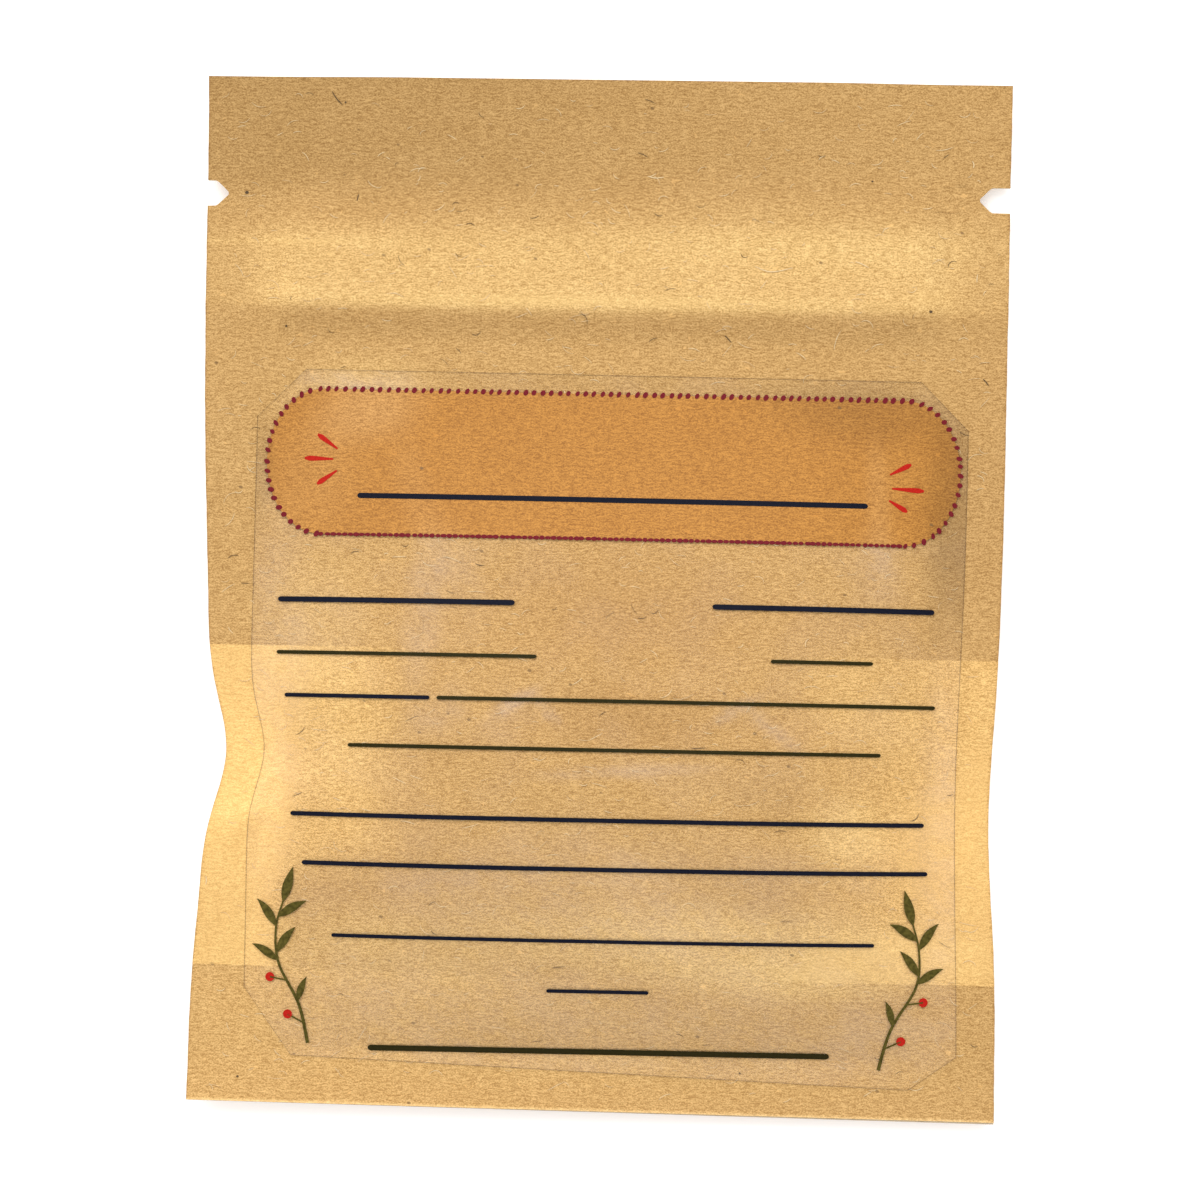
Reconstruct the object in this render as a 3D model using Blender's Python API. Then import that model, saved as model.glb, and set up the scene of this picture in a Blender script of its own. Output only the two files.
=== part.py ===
"""A small kraft paper zip pouch of cardamom pods, lying on its back with its label up.

Metres, +X across the pouch, +Y towards its mouth, +Z up; it rests on z = 0.
Lengths below are in millimetres and are scaled where the meshes are made.
"""

import math
import random

import bmesh
import bpy

MM = 0.001

# Pouch, laid flat and then filled
HALF_WIDTH = 35.0
HALF_LENGTH = 45.0
LENGTH_DRAWN_UP = 0.9955  # the filled pouch is a little shorter than it was cut
SKEW = 0.0088  # its right side is a little longer than its left
SEAL = 5.0

# Plies, from the table up
PAPER = 0.10
FILM = 0.08
FRONT = 0.15
GLUE_GAP = 0.03
SEAL_GAP = 0.05
FILM_TOP = PAPER + GLUE_GAP + FILM
STACK = FILM_TOP + SEAL_GAP

# The clear strip left between the two outer papers of the back
WINDOW_LOW = -33.1
WINDOW_HIGH = -5.0

# Side edges drawn in beside the contents: depth, place along the pouch, spread
LEFT_DENTS = ((1.05, -8.4, 13.0), (1.90, -14.4, 4.2), (0.32, -26.0, 4.5))
RIGHT_DENTS = ((0.92, -19.3, 7.2), (0.22, -6.4, 8.0))

# How far the seals stand off the table at each corner, and more beside the contents
LIFT_BOTTOM_LEFT = 1.9
LIFT_BOTTOM_RIGHT = 0.9
LIFT_TOP_LEFT = 0.9
LIFT_TOP_RIGHT = 0.7
LEFT_SIDE_LIFT = (1.8, -14.4, 9.0)
RIGHT_SIDE_LIFT = (1.0, -16.4, 11.0)
MOUTH_CURL_LEFT = 2.0
MOUTH_CURL_RIGHT = 0.8
BOTTOM_CURL = 0.6

# Fullness over the contents
FRONT_DEPTH = 7.2
BACK_DEPTH = 7.0
SIDE_FULLNESS = 2.8
TABLE_EASE = 0.5  # the back rounds onto the table over this height

# A fold that runs in from the left dent: its ends, height and half width
FOLD_START = (-33.5, -22.0)
FOLD_END = (-22.0, -15.8)
FOLD_HEIGHT = 0.45
FOLD_WIDTH = 1.3

# Press-to-close zip: two tapes, with a rib that snaps into a channel
ZIP_LOW = 25.7
ZIP_HIGH = 30.7
ZIP_MIDDLE = (ZIP_LOW + ZIP_HIGH) / 2
ZIP_TALL = 1.10
ZIP_CRUSHED = 0.25  # its height in the side seals, as a share of the full height
ZIP_EASE = 4.0  # the front drops off the zip's lower edge over this length
MOUTH_EASE = 7.0  # and off its upper edge, towards the mouth, over this one
PROFILE_TALL = 1.40  # the height at which the tapes' profiles are drawn
TAPE = 0.20
ZIP_END_MARGIN = 0.15
MOUTH_GAP = 0.6

# Tear notches in the side seals: place along the pouch, depth of the straight part
NOTCH_TALL = 2.22
NOTCH_POINT = 1.09
LEFT_NOTCH = (34.4, 0.70)
RIGHT_NOTCH = (35.2, 1.55)

# Clear label on the front
LABEL_FILM = 0.06
LABEL_GAP = 0.04
LABEL_LEFT = -30.25
LABEL_RIGHT = 31.75
LABEL_TOP = 19.2
LABEL_BOTTOM_LEFT = -40.4
LABEL_BOTTOM_RIGHT = -42.4
LABEL_CHAMFER = 4.2
LABEL_LEFT_DENT = (1.35, -13.9, 3.0)
LABEL_RIGHT_DENT = (0.65, -17.4, 11.0)

# Cardamom pods
POD_COUNT = 10
POD_LENGTH = (11.6, 13.4)
POD_RADIUS = (3.05, 3.4)
POD_ROUNDNESS = 0.62  # below 1 the body is blunter than a sine curve
POD_STALK = 0.20  # radii of the stub of stalk and of the beak, as shares of the body's
POD_BEAK = 0.17
POD_THREE_SIDED = 0.07
POD_RINGS = 9
POD_SIDES = 12
POD_AREA = (19.5, 15.0)  # half sizes of the oval that the pods fill
POD_MIDDLE = (0.0, -17.0)
POD_CLEARANCE = 0.15
POD_SEED = 5

# Packing the pods: each is three discs in a row, which push those of its neighbours away
DISC_SPREAD = 0.62  # places of the end discs, as a share of half a pod's length
END_DISC = 2.5
DISC_MARGIN = 0.25
START_REACH = 0.8
START_TURN = 2.4  # about the golden angle, which spreads the starting places
PACKING_STEPS = 600
PUSH_SHARE = 0.3
TURN_SHARE = 0.01
FREE_REACH = 0.7  # inside this share of the area nothing pulls a pod in
PULL_IN = 3.0

# Mesh rows along the pouch: from, to, cells
ROW_SPANS = (
    (-HALF_LENGTH, -HALF_LENGTH + SEAL, 2),
    (-HALF_LENGTH + SEAL, WINDOW_LOW, 2),
    (WINDOW_LOW, WINDOW_HIGH, 8),
    (WINDOW_HIGH, ZIP_LOW - ZIP_EASE, 7),
    (ZIP_LOW - ZIP_EASE, ZIP_LOW, 3),
    (ZIP_LOW, ZIP_HIGH, 3),
    (ZIP_HIGH, ZIP_HIGH + MOUTH_EASE, 4),
    (ZIP_HIGH + MOUTH_EASE, HALF_LENGTH, 2),
)
BODY_COLUMNS = 16
CUTTER_LOW, CUTTER_HIGH = -2.0, 16.0


def bell(distance, spread):
    return math.exp(-0.5 * (distance / spread) ** 2)


def ramp(low, high, value):
    """0 below low, 1 above high, and smooth between."""
    t = min(max((value - low) / (high - low), 0.0), 1.0)
    return t * t * (3.0 - 2.0 * t)


def bump(shape, y):
    size, place, spread = shape
    return size * bell(y - place, spread)


# The pouch's surfaces, as formulas in x and in y, the place along the pouch as it was cut


def drawn_up(x, y):
    """Where a place along the pouch as cut comes to lie on the filled one."""
    return y * (LENGTH_DRAWN_UP + SKEW * x / HALF_WIDTH)


def as_cut(x, y):
    return y / (LENGTH_DRAWN_UP + SKEW * x / HALF_WIDTH)


def left_edge(y):
    return -HALF_WIDTH + sum(bump(dent, y) for dent in LEFT_DENTS)


def right_edge(y):
    return HALF_WIDTH - sum(bump(dent, y) for dent in RIGHT_DENTS)


def inside(x, y):
    """Distance in from the nearer side edge."""
    return min(x - left_edge(y), right_edge(y) - x)


def seal_height(x, y):
    """Height of the surface in which the front and the back are sealed together."""
    across = (x / HALF_WIDTH + 1) / 2
    along = (y / HALF_LENGTH + 1) / 2
    bottom = LIFT_BOTTOM_LEFT + (LIFT_BOTTOM_RIGHT - LIFT_BOTTOM_LEFT) * across
    top = LIFT_TOP_LEFT + (LIFT_TOP_RIGHT - LIFT_TOP_LEFT) * across
    height = bottom + (top - bottom) * along
    height += bump(LEFT_SIDE_LIFT, y) * (1 - across) ** 3
    height += bump(RIGHT_SIDE_LIFT, y) * across**3
    curl = MOUTH_CURL_LEFT + (MOUTH_CURL_RIGHT - MOUTH_CURL_LEFT) * across
    height += curl * max(0.0, (y - ZIP_HIGH) / (HALF_LENGTH - ZIP_HIGH)) ** 2
    return height + BOTTOM_CURL * max(0.0, (SEAL - HALF_LENGTH - y) / SEAL) ** 2


def fullness(x, y):
    """1 at the fullest point over the contents, 0 at the seals and at the zip."""
    left, right = left_edge(y) + SEAL, right_edge(y) - SEAL
    across = abs(2 * x - left - right) / (right - left)
    low = -HALF_LENGTH + SEAL
    along = (y - low) / (ZIP_LOW - low)
    if across >= 1 or not 0 < along < 1:
        return 0.0
    crest = 27 / 4  # makes the highest value of along (1 - along)^2 equal to 1
    return (1 - across**SIDE_FULLNESS) * crest * along * (1 - along) ** 2


def fold(x, y):
    """A rounded ridge along the line from the dent towards the contents."""
    (x0, y0), (x1, y1) = FOLD_START, FOLD_END
    run = math.hypot(x1 - x0, y1 - y0)
    along = ((x - x0) * (x1 - x0) + (y - y0) * (y1 - y0)) / run
    off = ((x - x0) * (y1 - y0) - (y - y0) * (x1 - x0)) / run
    ends = ramp(-1.0, 3.0, along) * (1 - ramp(run - 5.0, run + 1.0, along))
    return FOLD_HEIGHT * bell(off, FOLD_WIDTH) * ends


def zip_height(x, y):
    """The height of the zip between its two tapes' outer faces: crushed in the seals."""
    open_part = ramp(SEAL, SEAL + 3.0, inside(x, y))
    return ZIP_TALL * (ZIP_CRUSHED + (1 - ZIP_CRUSHED) * open_part)


def zip_rise(x, y):
    towards_mouth = ramp(ZIP_HIGH, ZIP_HIGH + MOUTH_EASE, y)
    over_zip = ramp(ZIP_LOW - ZIP_EASE, ZIP_LOW, y) * (1 - towards_mouth)
    mouth = MOUTH_GAP * ramp(SEAL, SEAL + 12, inside(x, y)) * towards_mouth
    return zip_height(x, y) * over_zip + mouth


def back(x, y):
    """The outer face of the back: flat on the table under the contents."""
    height = seal_height(x, y) - BACK_DEPTH * fullness(x, y)
    if height > TABLE_EASE:
        return height
    return max(0.0, height + TABLE_EASE) ** 2 / (4 * TABLE_EASE)


def film_face(x, y):
    return back(x, y) + PAPER + GLUE_GAP


def front(x, y):
    """The inner face of the front panel."""
    return seal_height(x, y) + STACK + FRONT_DEPTH * fullness(x, y) + zip_rise(x, y) + fold(x, y)


def label_face(x, y):
    return front(x, y) + FRONT + LABEL_GAP


# Meshes


def clear_scene():
    for obj in list(bpy.data.objects):
        bpy.data.objects.remove(obj, do_unlink=True)


def material(name, colour, roughness, alpha=1.0):
    made = bpy.data.materials.new(name)
    made.use_nodes = True
    shader = made.node_tree.nodes["Principled BSDF"]
    shader.inputs["Base Color"].default_value = (*colour, 1.0)
    shader.inputs["Roughness"].default_value = roughness
    shader.inputs["Metallic"].default_value = 0.0
    shader.inputs["Alpha"].default_value = alpha
    return made


def add_object(name, bm, look=None):
    """An object from a mesh made in millimetres."""
    bmesh.ops.recalc_face_normals(bm, faces=bm.faces[:])
    bmesh.ops.scale(bm, verts=bm.verts[:], vec=(MM, MM, MM))
    mesh = bpy.data.meshes.new(name)
    bm.to_mesh(mesh)
    bm.free()
    mesh.shade_smooth()
    mesh.set_sharp_from_angle(angle=math.radians(40))
    obj = bpy.data.objects.new(name, mesh)
    bpy.context.scene.collection.objects.link(obj)
    if look:
        mesh.materials.append(look)
    return obj


def rows_between(low, high):
    """The mesh rows from low to high, both of which are ends of row spans."""
    rows = [low]
    for start, end, cells in ROW_SPANS:
        if start >= low - 1e-6 and end <= high + 1e-6:
            rows += [start + (end - start) * (i + 1) / cells for i in range(cells)]
    return rows


def columns_at(y):
    left, right = left_edge(y), right_edge(y)
    body = right - left - 2 * SEAL
    columns = [left, left + SEAL / 2]
    columns += [left + SEAL + body * i / BODY_COLUMNS for i in range(BODY_COLUMNS + 1)]
    return columns + [right - SEAL / 2, right]


def sheet(name, surface, thickness, look, low=-HALF_LENGTH, high=HALF_LENGTH):
    """A ply whose lower face follows surface(x, y), from row low to row high."""
    bm = bmesh.new()
    grid = []
    for y in rows_between(low, high):
        line = []
        for x in columns_at(y):
            line.append(bm.verts.new((x, drawn_up(x, y), surface(x, y))))
        grid.append(line)
    for near, far in zip(grid, grid[1:]):
        for i in range(len(near) - 1):
            bm.faces.new((near[i], near[i + 1], far[i + 1]))
            bm.faces.new((near[i], far[i + 1], far[i]))
    raised = bmesh.ops.extrude_face_region(bm, geom=bm.faces[:])["geom"]
    moved = [part for part in raised if isinstance(part, bmesh.types.BMVert)]
    bmesh.ops.translate(bm, verts=moved, vec=(0, 0, thickness))
    return add_object(name, bm, look)


def prism(name, outline):
    """A cutter with the given outline, taller than the pouch."""
    bm = bmesh.new()
    bottom = [bm.verts.new((x, y, CUTTER_LOW)) for x, y in outline]
    face = bm.faces.new(bottom)
    raised = bmesh.ops.extrude_face_region(bm, geom=[face])["geom"]
    moved = [part for part in raised if isinstance(part, bmesh.types.BMVert)]
    bmesh.ops.translate(bm, verts=moved, vec=(0, 0, CUTTER_HIGH - CUTTER_LOW))
    cutter = add_object(name, bm)
    cutter.hide_render = True
    cutter.display_type = "WIRE"
    return cutter


def cut(obj, cutter, operation="DIFFERENCE"):
    modifier = obj.modifiers.new(cutter.name, "BOOLEAN")
    modifier.operation = operation
    modifier.solver = "EXACT"
    modifier.object = cutter


def notch_outline(side, edge, place, straight):
    """A slot from outside the edge, ending in a blunt point; side is -1 or 1."""
    half = NOTCH_TALL / 2
    shoulder = edge - side * straight
    tip = shoulder - side * NOTCH_POINT
    eased = shoulder - side * NOTCH_POINT * 0.2
    return [
        (edge + side * 2, place - half),
        (shoulder, place - half),
        (eased, place - half * 0.88),
        (tip, place - half * 0.12),
        (tip, place + half * 0.12),
        (eased, place + half * 0.88),
        (shoulder, place + half),
        (edge + side * 2, place + half),
    ]


def label_outline():
    """Straight top and bottom, cut corners, and sides that follow the dented pouch."""
    def sides(edge, dent, sign, low, steps=14):
        high = LABEL_TOP - LABEL_CHAMFER
        rows = [low + (high - low) * i / steps for i in range(steps + 1)]
        return [(edge - sign * bump(dent, y), y) for y in rows]

    low_left = LABEL_BOTTOM_LEFT + LABEL_CHAMFER * 1.4
    low_right = LABEL_BOTTOM_RIGHT + LABEL_CHAMFER * 0.7
    right = sides(LABEL_RIGHT, LABEL_RIGHT_DENT, 1, low_right)
    left = sides(LABEL_LEFT, LABEL_LEFT_DENT, -1, low_left)
    top = [(LABEL_RIGHT - LABEL_CHAMFER, LABEL_TOP), (LABEL_LEFT + LABEL_CHAMFER, LABEL_TOP)]
    bottom = [
        (LABEL_LEFT + LABEL_CHAMFER, LABEL_BOTTOM_LEFT),
        (LABEL_RIGHT - LABEL_CHAMFER, LABEL_BOTTOM_RIGHT),
    ]
    return bottom + right + top + left[::-1]


def channel_profile():
    """(y, height) of the back tape: a base with two hooked jaws."""
    half = (ZIP_HIGH - ZIP_LOW) / 2 - 0.1
    return [
        (-half, 0.0), (half, 0.0), (half, TAPE * 0.6), (1.15, TAPE),
        (1.05, 1.00), (0.42, 1.00), (0.42, 0.80), (0.72, 0.72), (0.72, TAPE),
        (-0.72, TAPE), (-0.72, 0.72), (-0.42, 0.80), (-0.42, 1.00), (-1.05, 1.00),
        (-1.15, TAPE), (-half, TAPE * 0.6),
    ]


def rib_profile():
    """(y, height) of the front tape: a base with an arrow-headed rib hanging from it."""
    half = (ZIP_HIGH - ZIP_LOW) / 2 - 0.1
    top = PROFILE_TALL
    return [
        (-half, top), (-half, top - TAPE * 0.6), (-0.6, top - TAPE), (-0.22, top - TAPE - 0.1),
        (-0.22, 0.60), (-0.54, 0.52), (-0.18, 0.36), (0.18, 0.36), (0.54, 0.52), (0.22, 0.60),
        (0.22, top - TAPE - 0.1), (0.6, top - TAPE), (half, top - TAPE * 0.6), (half, top),
    ]


def zip_tape(name, profile, look):
    """The profile drawn across the pouch on the film, and crushed flat in the seals."""
    stations = columns_at(ZIP_MIDDLE)
    stations[0] += ZIP_END_MARGIN
    stations[-1] -= ZIP_END_MARGIN
    bm = bmesh.new()
    rings = []
    for x in stations:
        share = zip_height(x, ZIP_MIDDLE) / PROFILE_TALL
        ring = []
        for off, height in profile:
            y = ZIP_MIDDLE + off
            z = film_face(x, y) + FILM + SEAL_GAP / 2 + height * share
            ring.append(bm.verts.new((x, drawn_up(x, y), z)))
        rings.append(ring)
    count = len(profile)
    for near, far in zip(rings, rings[1:]):
        for i in range(count):
            j = (i + 1) % count
            bm.faces.new((near[i], near[j], far[j], far[i]))
    bm.faces.new(rings[0])
    bm.faces.new(rings[-1])
    bm.normal_update()
    bmesh.ops.triangulate(bm, faces=bm.faces[:], quad_method="FIXED")
    return add_object(name, bm, look)


# Pods


def pod_places():
    """Centre and heading of each pod, pushed apart until none touch."""
    rng = random.Random(POD_SEED)
    half = POD_LENGTH[1] / 2
    middle_disc = POD_RADIUS[1] + DISC_MARGIN
    discs = ((-DISC_SPREAD * half, END_DISC), (0.0, middle_disc), (DISC_SPREAD * half, END_DISC))
    pods = []
    for i in range(POD_COUNT):
        turn = START_TURN * i
        reach = START_REACH * math.sqrt((i + 0.5) / POD_COUNT)
        x = POD_MIDDLE[0] + POD_AREA[0] * reach * math.cos(turn)
        y = POD_MIDDLE[1] + POD_AREA[1] * reach * math.sin(turn)
        pods.append([x, y, rng.uniform(0, math.pi)])
    for _ in range(PACKING_STEPS):
        pushes = [[0.0, 0.0, 0.0] for _ in pods]
        for i, first in enumerate(pods):
            for j in range(i):
                second = pods[j]
                for along_a, radius_a in discs:
                    arm_a = (along_a * math.cos(first[2]), along_a * math.sin(first[2]))
                    for along_b, radius_b in discs:
                        arm_b = (along_b * math.cos(second[2]), along_b * math.sin(second[2]))
                        dx = first[0] + arm_a[0] - second[0] - arm_b[0]
                        dy = first[1] + arm_a[1] - second[1] - arm_b[1]
                        apart = math.hypot(dx, dy) or 1e-6
                        deep = radius_a + radius_b - apart
                        if deep <= 0:
                            continue
                        fx, fy = dx / apart * deep, dy / apart * deep
                        for push, arm, sign in ((pushes[i], arm_a, 1), (pushes[j], arm_b, -1)):
                            push[0] += sign * fx * PUSH_SHARE
                            push[1] += sign * fy * PUSH_SHARE
                            push[2] += sign * (arm[0] * fy - arm[1] * fx) * TURN_SHARE
        for pod, push in zip(pods, pushes):
            pod[0] += push[0]
            pod[1] += push[1]
            pod[2] += push[2]
            out_x = (pod[0] - POD_MIDDLE[0]) / POD_AREA[0]
            out_y = (pod[1] - POD_MIDDLE[1]) / POD_AREA[1]
            out = math.hypot(out_x, out_y)
            if out > FREE_REACH:
                pod[0] -= out_x * (out - FREE_REACH) * PULL_IN
                pod[1] -= out_y * (out - FREE_REACH) * PULL_IN
    return pods


def pod_radius(t):
    """Radius along the pod, as a share of its widest: a stub of stalk, the body, a beak."""
    body = math.sin(math.pi * min(max((t - 0.04) / 0.88, 0.0), 1.0)) ** POD_ROUNDNESS
    stalk = POD_STALK * (1 - ramp(0.02, 0.14, t))
    beak = POD_BEAK * ramp(0.84, 0.93, t) * (1 - 0.5 * ramp(0.93, 1.0, t))
    return max(body, stalk, beak)


def pod(name, place, size, roll, look):
    """A blunt three-sided capsule lying on the film."""
    x0, y0, heading = place
    length, radius = size
    points = []
    for ring in range(POD_RINGS):
        t = ring / (POD_RINGS - 1)
        along = (t - 0.5) * length
        wide = radius * pod_radius(t)
        for side in range(POD_SIDES):
            angle = 2 * math.pi * side / POD_SIDES
            reach = wide * (1 + POD_THREE_SIDED * math.cos(3 * angle))
            across, up = reach * math.cos(angle + roll), reach * math.sin(angle + roll)
            points.append((
                x0 + along * math.cos(heading) - across * math.sin(heading),
                y0 + along * math.sin(heading) + across * math.cos(heading),
                up,
            ))
    lift = max(film_face(x, as_cut(x, y)) + FILM - z for x, y, z in points) + POD_CLEARANCE
    bm = bmesh.new()
    verts = [bm.verts.new((x, y, z + lift)) for x, y, z in points]
    rings = [verts[i * POD_SIDES:(i + 1) * POD_SIDES] for i in range(POD_RINGS)]
    for near, far in zip(rings, rings[1:]):
        for i in range(POD_SIDES):
            j = (i + 1) % POD_SIDES
            bm.faces.new((near[i], near[j], far[j], far[i]))
    bm.faces.new(rings[0])
    bm.faces.new(rings[-1])
    bm.normal_update()
    bmesh.ops.triangulate(bm, faces=bm.faces[:], quad_method="FIXED")
    return add_object(name, bm, look)


def build():
    clear_scene()
    paper = material("kraft_paper", (0.62, 0.37, 0.13), 0.75)
    film = material("frosted_film", (0.80, 0.80, 0.76), 0.45, alpha=0.5)
    plastic = material("zip_plastic", (0.82, 0.82, 0.78), 0.40)
    clear = material("label_film", (0.75, 0.62, 0.42), 0.30, alpha=0.5)
    husk = material("pod_husk", (0.30, 0.33, 0.10), 0.60)

    notches = [
        prism("left_notch_cutter", notch_outline(-1, -HALF_WIDTH, *LEFT_NOTCH)),
        prism("right_notch_cutter", notch_outline(1, HALF_WIDTH, *RIGHT_NOTCH)),
    ]
    label_shape = prism("label_cutter", label_outline())

    notched = [
        sheet("front_panel", front, FRONT, paper),
        sheet("back_film", film_face, FILM, film),
        sheet("back_paper_upper", back, PAPER, paper, low=WINDOW_HIGH),
    ]
    for ply in notched:
        for notch in notches:
            cut(ply, notch)
    sheet("back_paper_lower", back, PAPER, paper, high=WINDOW_LOW)
    cut(sheet("label", label_face, LABEL_FILM, clear, high=ZIP_LOW - ZIP_EASE), label_shape, "INTERSECT")

    zip_tape("zip_channel", channel_profile(), plastic)
    zip_tape("zip_rib", rib_profile(), plastic)

    rng = random.Random(POD_SEED)
    for number, place in enumerate(pod_places(), start=1):
        size = (rng.uniform(*POD_LENGTH), rng.uniform(*POD_RADIUS))
        pod(f"pod_{number:02d}", place, size, rng.uniform(0, 2 * math.pi), husk)


build()
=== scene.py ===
"""The looks of a small kraft paper zip pouch of cardamom pods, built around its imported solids.

Metres, +X across the pouch, +Y towards its mouth, +Z up; the pouch lies on z = 0 with its label up.
Lengths below are in millimetres, and are scaled where the meshes are made.
"""

import math
import random

import bpy
import numpy as np
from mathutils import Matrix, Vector
from mathutils.bvhtree import BVHTree


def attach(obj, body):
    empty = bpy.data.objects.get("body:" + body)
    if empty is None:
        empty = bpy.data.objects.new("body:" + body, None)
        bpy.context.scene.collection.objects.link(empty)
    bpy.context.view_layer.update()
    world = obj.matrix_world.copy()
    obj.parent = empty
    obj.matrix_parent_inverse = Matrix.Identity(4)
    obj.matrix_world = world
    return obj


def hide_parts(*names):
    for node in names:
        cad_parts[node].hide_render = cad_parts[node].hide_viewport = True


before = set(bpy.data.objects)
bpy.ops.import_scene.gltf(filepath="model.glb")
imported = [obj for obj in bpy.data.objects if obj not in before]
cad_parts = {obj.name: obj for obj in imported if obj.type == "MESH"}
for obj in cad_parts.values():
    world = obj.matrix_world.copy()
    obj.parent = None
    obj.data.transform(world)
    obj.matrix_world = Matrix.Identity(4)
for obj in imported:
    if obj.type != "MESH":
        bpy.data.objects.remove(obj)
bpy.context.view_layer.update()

MM = 0.001

# The pouch's sizes, as in the part's source
HALF_WIDTH = 35.0
HALF_LENGTH = 45.0
LENGTH_DRAWN_UP = 0.9955
SKEW = 0.0088
SEAL = 5.0
PAPER = 0.10
FILM = 0.08
FRONT = 0.15
GLUE_GAP = 0.03
SEAL_GAP = 0.05
STACK = PAPER + GLUE_GAP + FILM + SEAL_GAP
WINDOW_LOW = -33.1
WINDOW_HIGH = -5.0
LEFT_DENTS = ((1.05, -8.4, 13.0), (1.90, -14.4, 4.2), (0.32, -26.0, 4.5))
RIGHT_DENTS = ((0.92, -19.3, 7.2), (0.22, -6.4, 8.0))
LIFT_BOTTOM_LEFT = 1.9
LIFT_BOTTOM_RIGHT = 0.9
LIFT_TOP_LEFT = 0.9
LIFT_TOP_RIGHT = 0.7
LEFT_SIDE_LIFT = (1.8, -14.4, 9.0)
RIGHT_SIDE_LIFT = (1.0, -16.4, 11.0)
MOUTH_CURL_LEFT = 2.0
MOUTH_CURL_RIGHT = 0.8
BOTTOM_CURL = 0.6
FRONT_DEPTH = 7.2
BACK_DEPTH = 7.0
SIDE_FULLNESS = 2.8
TABLE_EASE = 0.5
FOLD_START = (-33.5, -22.0)
FOLD_END = (-22.0, -15.8)
FOLD_HEIGHT = 0.45
FOLD_WIDTH = 1.3
ZIP_LOW = 25.7
ZIP_HIGH = 30.7
ZIP_TALL = 1.10
ZIP_CRUSHED = 0.25
ZIP_CREASE = 30.65
ZIP_EASE = 4.0
MOUTH_EASE = 7.0
MOUTH_GAP = 0.6
NOTCH_TALL = 2.22
NOTCH_POINT = 1.09
LEFT_NOTCH = (34.4, 0.70)
RIGHT_NOTCH = (35.2, 1.55)
LABEL_FILM = 0.06
LABEL_GAP = 0.04
LABEL_LEFT = -30.25
LABEL_RIGHT = 31.75
LABEL_TOP = 19.2
LABEL_BOTTOM_LEFT = -40.4
LABEL_BOTTOM_RIGHT = -42.4
LABEL_CHAMFER = 4.2
LABEL_LEFT_DENT = (1.35, -13.9, 3.0)
LABEL_RIGHT_DENT = (0.65, -17.4, 11.0)

# Creases in the front: points along each, height, half width
CREASES = (
    (((-35.0, 30.9), (0.0, 31.1), (35.0, 30.9)), 0.05, 0.35),
    (((-31.6, -20.4), (-29.6, -19.6), (-28.3, -16.2), (-23.2, -16.6)), 0.22, 0.45),
    (((-33.0, -12.0), (-30.2, -15.4), (-27.8, -17.4)), 0.16, 0.5),
    (((-27.6, 19.6), (-23.5, 19.0), (-19.8, 18.1)), 0.10, 0.45),
    (((-8.6, -11.0), (-5.6, -9.3), (-3.4, -11.2)), 0.12, 0.6),
    (((7.6, -13.0), (10.6, -9.4), (14.2, -10.8)), 0.12, 0.6),
    (((-5.0, -15.0), (2.0, -13.6), (9.0, -15.3)), 0.10, 0.8),
    (((30.2, -24.8), (32.8, -21.6), (33.6, -17.2)), 0.20, 0.5),
    (((-34.4, 3.5), (-31.8, 1.9), (-29.4, 0.5)), 0.08, 0.5),
)

# Mesh
CELL = 0.52
EDGE_CELLS = (0.0, 0.09, 0.28)
STEP_HALF = 0.05  # half the width of a sharp step in tone
CUT_WAVE = 0.008  # how far the guillotine's cut edge wanders
BACK_SHOWS = (0.05, 0.17)  # how far the back stands out past the front's low edge, left and right
BACK_SHOWS_OVER = 2.5  # the stretch over which the front's rows are drawn in for it

# Print, lying on the label
BANNER = "banner_tint"
INK_LOW = 0.006
INK_HIGH = 0.024
OVER_BANNER = 0.03  # how much higher the marks lie, so that they clear the banner too
BANNER_LEFT, BANNER_RIGHT = -29.3, 31.1
BANNER_LOW, BANNER_HIGH = 4.8, 17.5
BANNER_END = 4.9  # how far in from its ends the banner is rounded
BANNER_CELLS = (30, 124)
DOT_SIZE = (0.41, 0.56)
DOT_VARIES = (0.85, 1.12)
DOT_SLANT = 0.5
BOTTOM_DOT_SHAPE = (1.3, 0.62)  # along and across the border, against the others' shape
PITCH_VARIES = (0.93, 1.07)
DOT_PITCH_TOP = 0.74
DOT_PITCH_END = 0.86
DOT_PITCH_BOTTOM = 0.50

# Camera
VIEW_WIDTH = 104.3  # what the photograph's width covers in the plane of the pouch
CAMERA_AWAY = 400.0
CAMERA_ROLL = math.radians(1.2)
CAMERA_TILT = math.radians(1.5)
AIM = (-0.08, -0.4, 2.0)

# Floor and light; the light's places and sizes are in metres, its power in watts
FLOOR_HALF = 1500.0
FLOOR_BELOW = 0.02  # so that the floor and the back's flat middle don't share one plane
FLOOR_GREY = 0.93
FLOOR_GLOW = 0.27
SKY_STRENGTH = 0.95
KEY_PLACE = (-0.2, 0.85, 0.95)
KEY_SIZE = (1.8, 1.2)
KEY_POWER = 14.0


# Pods, read from the imported solids

# How high the front lies over each pod, and how far that reaches along it and across it
LUMP_HEIGHT = 0.30
LUMP_LONG = 4.2
LUMP_WIDE = 2.0


def pod_axes():
    """Middle and long axis of each pod node, in millimetres, and its name."""
    found = []
    for name in sorted(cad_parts):
        if not name.startswith("pod_"):
            continue
        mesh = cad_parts[name].data
        points = np.empty(len(mesh.vertices) * 3)
        mesh.vertices.foreach_get("co", points)
        points = points.reshape(-1, 3) / MM
        middle = points.mean(0)
        axis = np.linalg.svd(points - middle)[2][0]
        found.append((middle, axis, name))
    return found


PODS = pod_axes()


# Surfaces of the pouch, as formulas in x and in y, the place along it as it was cut


def bell(distance, spread):
    return np.exp(-0.5 * (distance / spread) ** 2)


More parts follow.
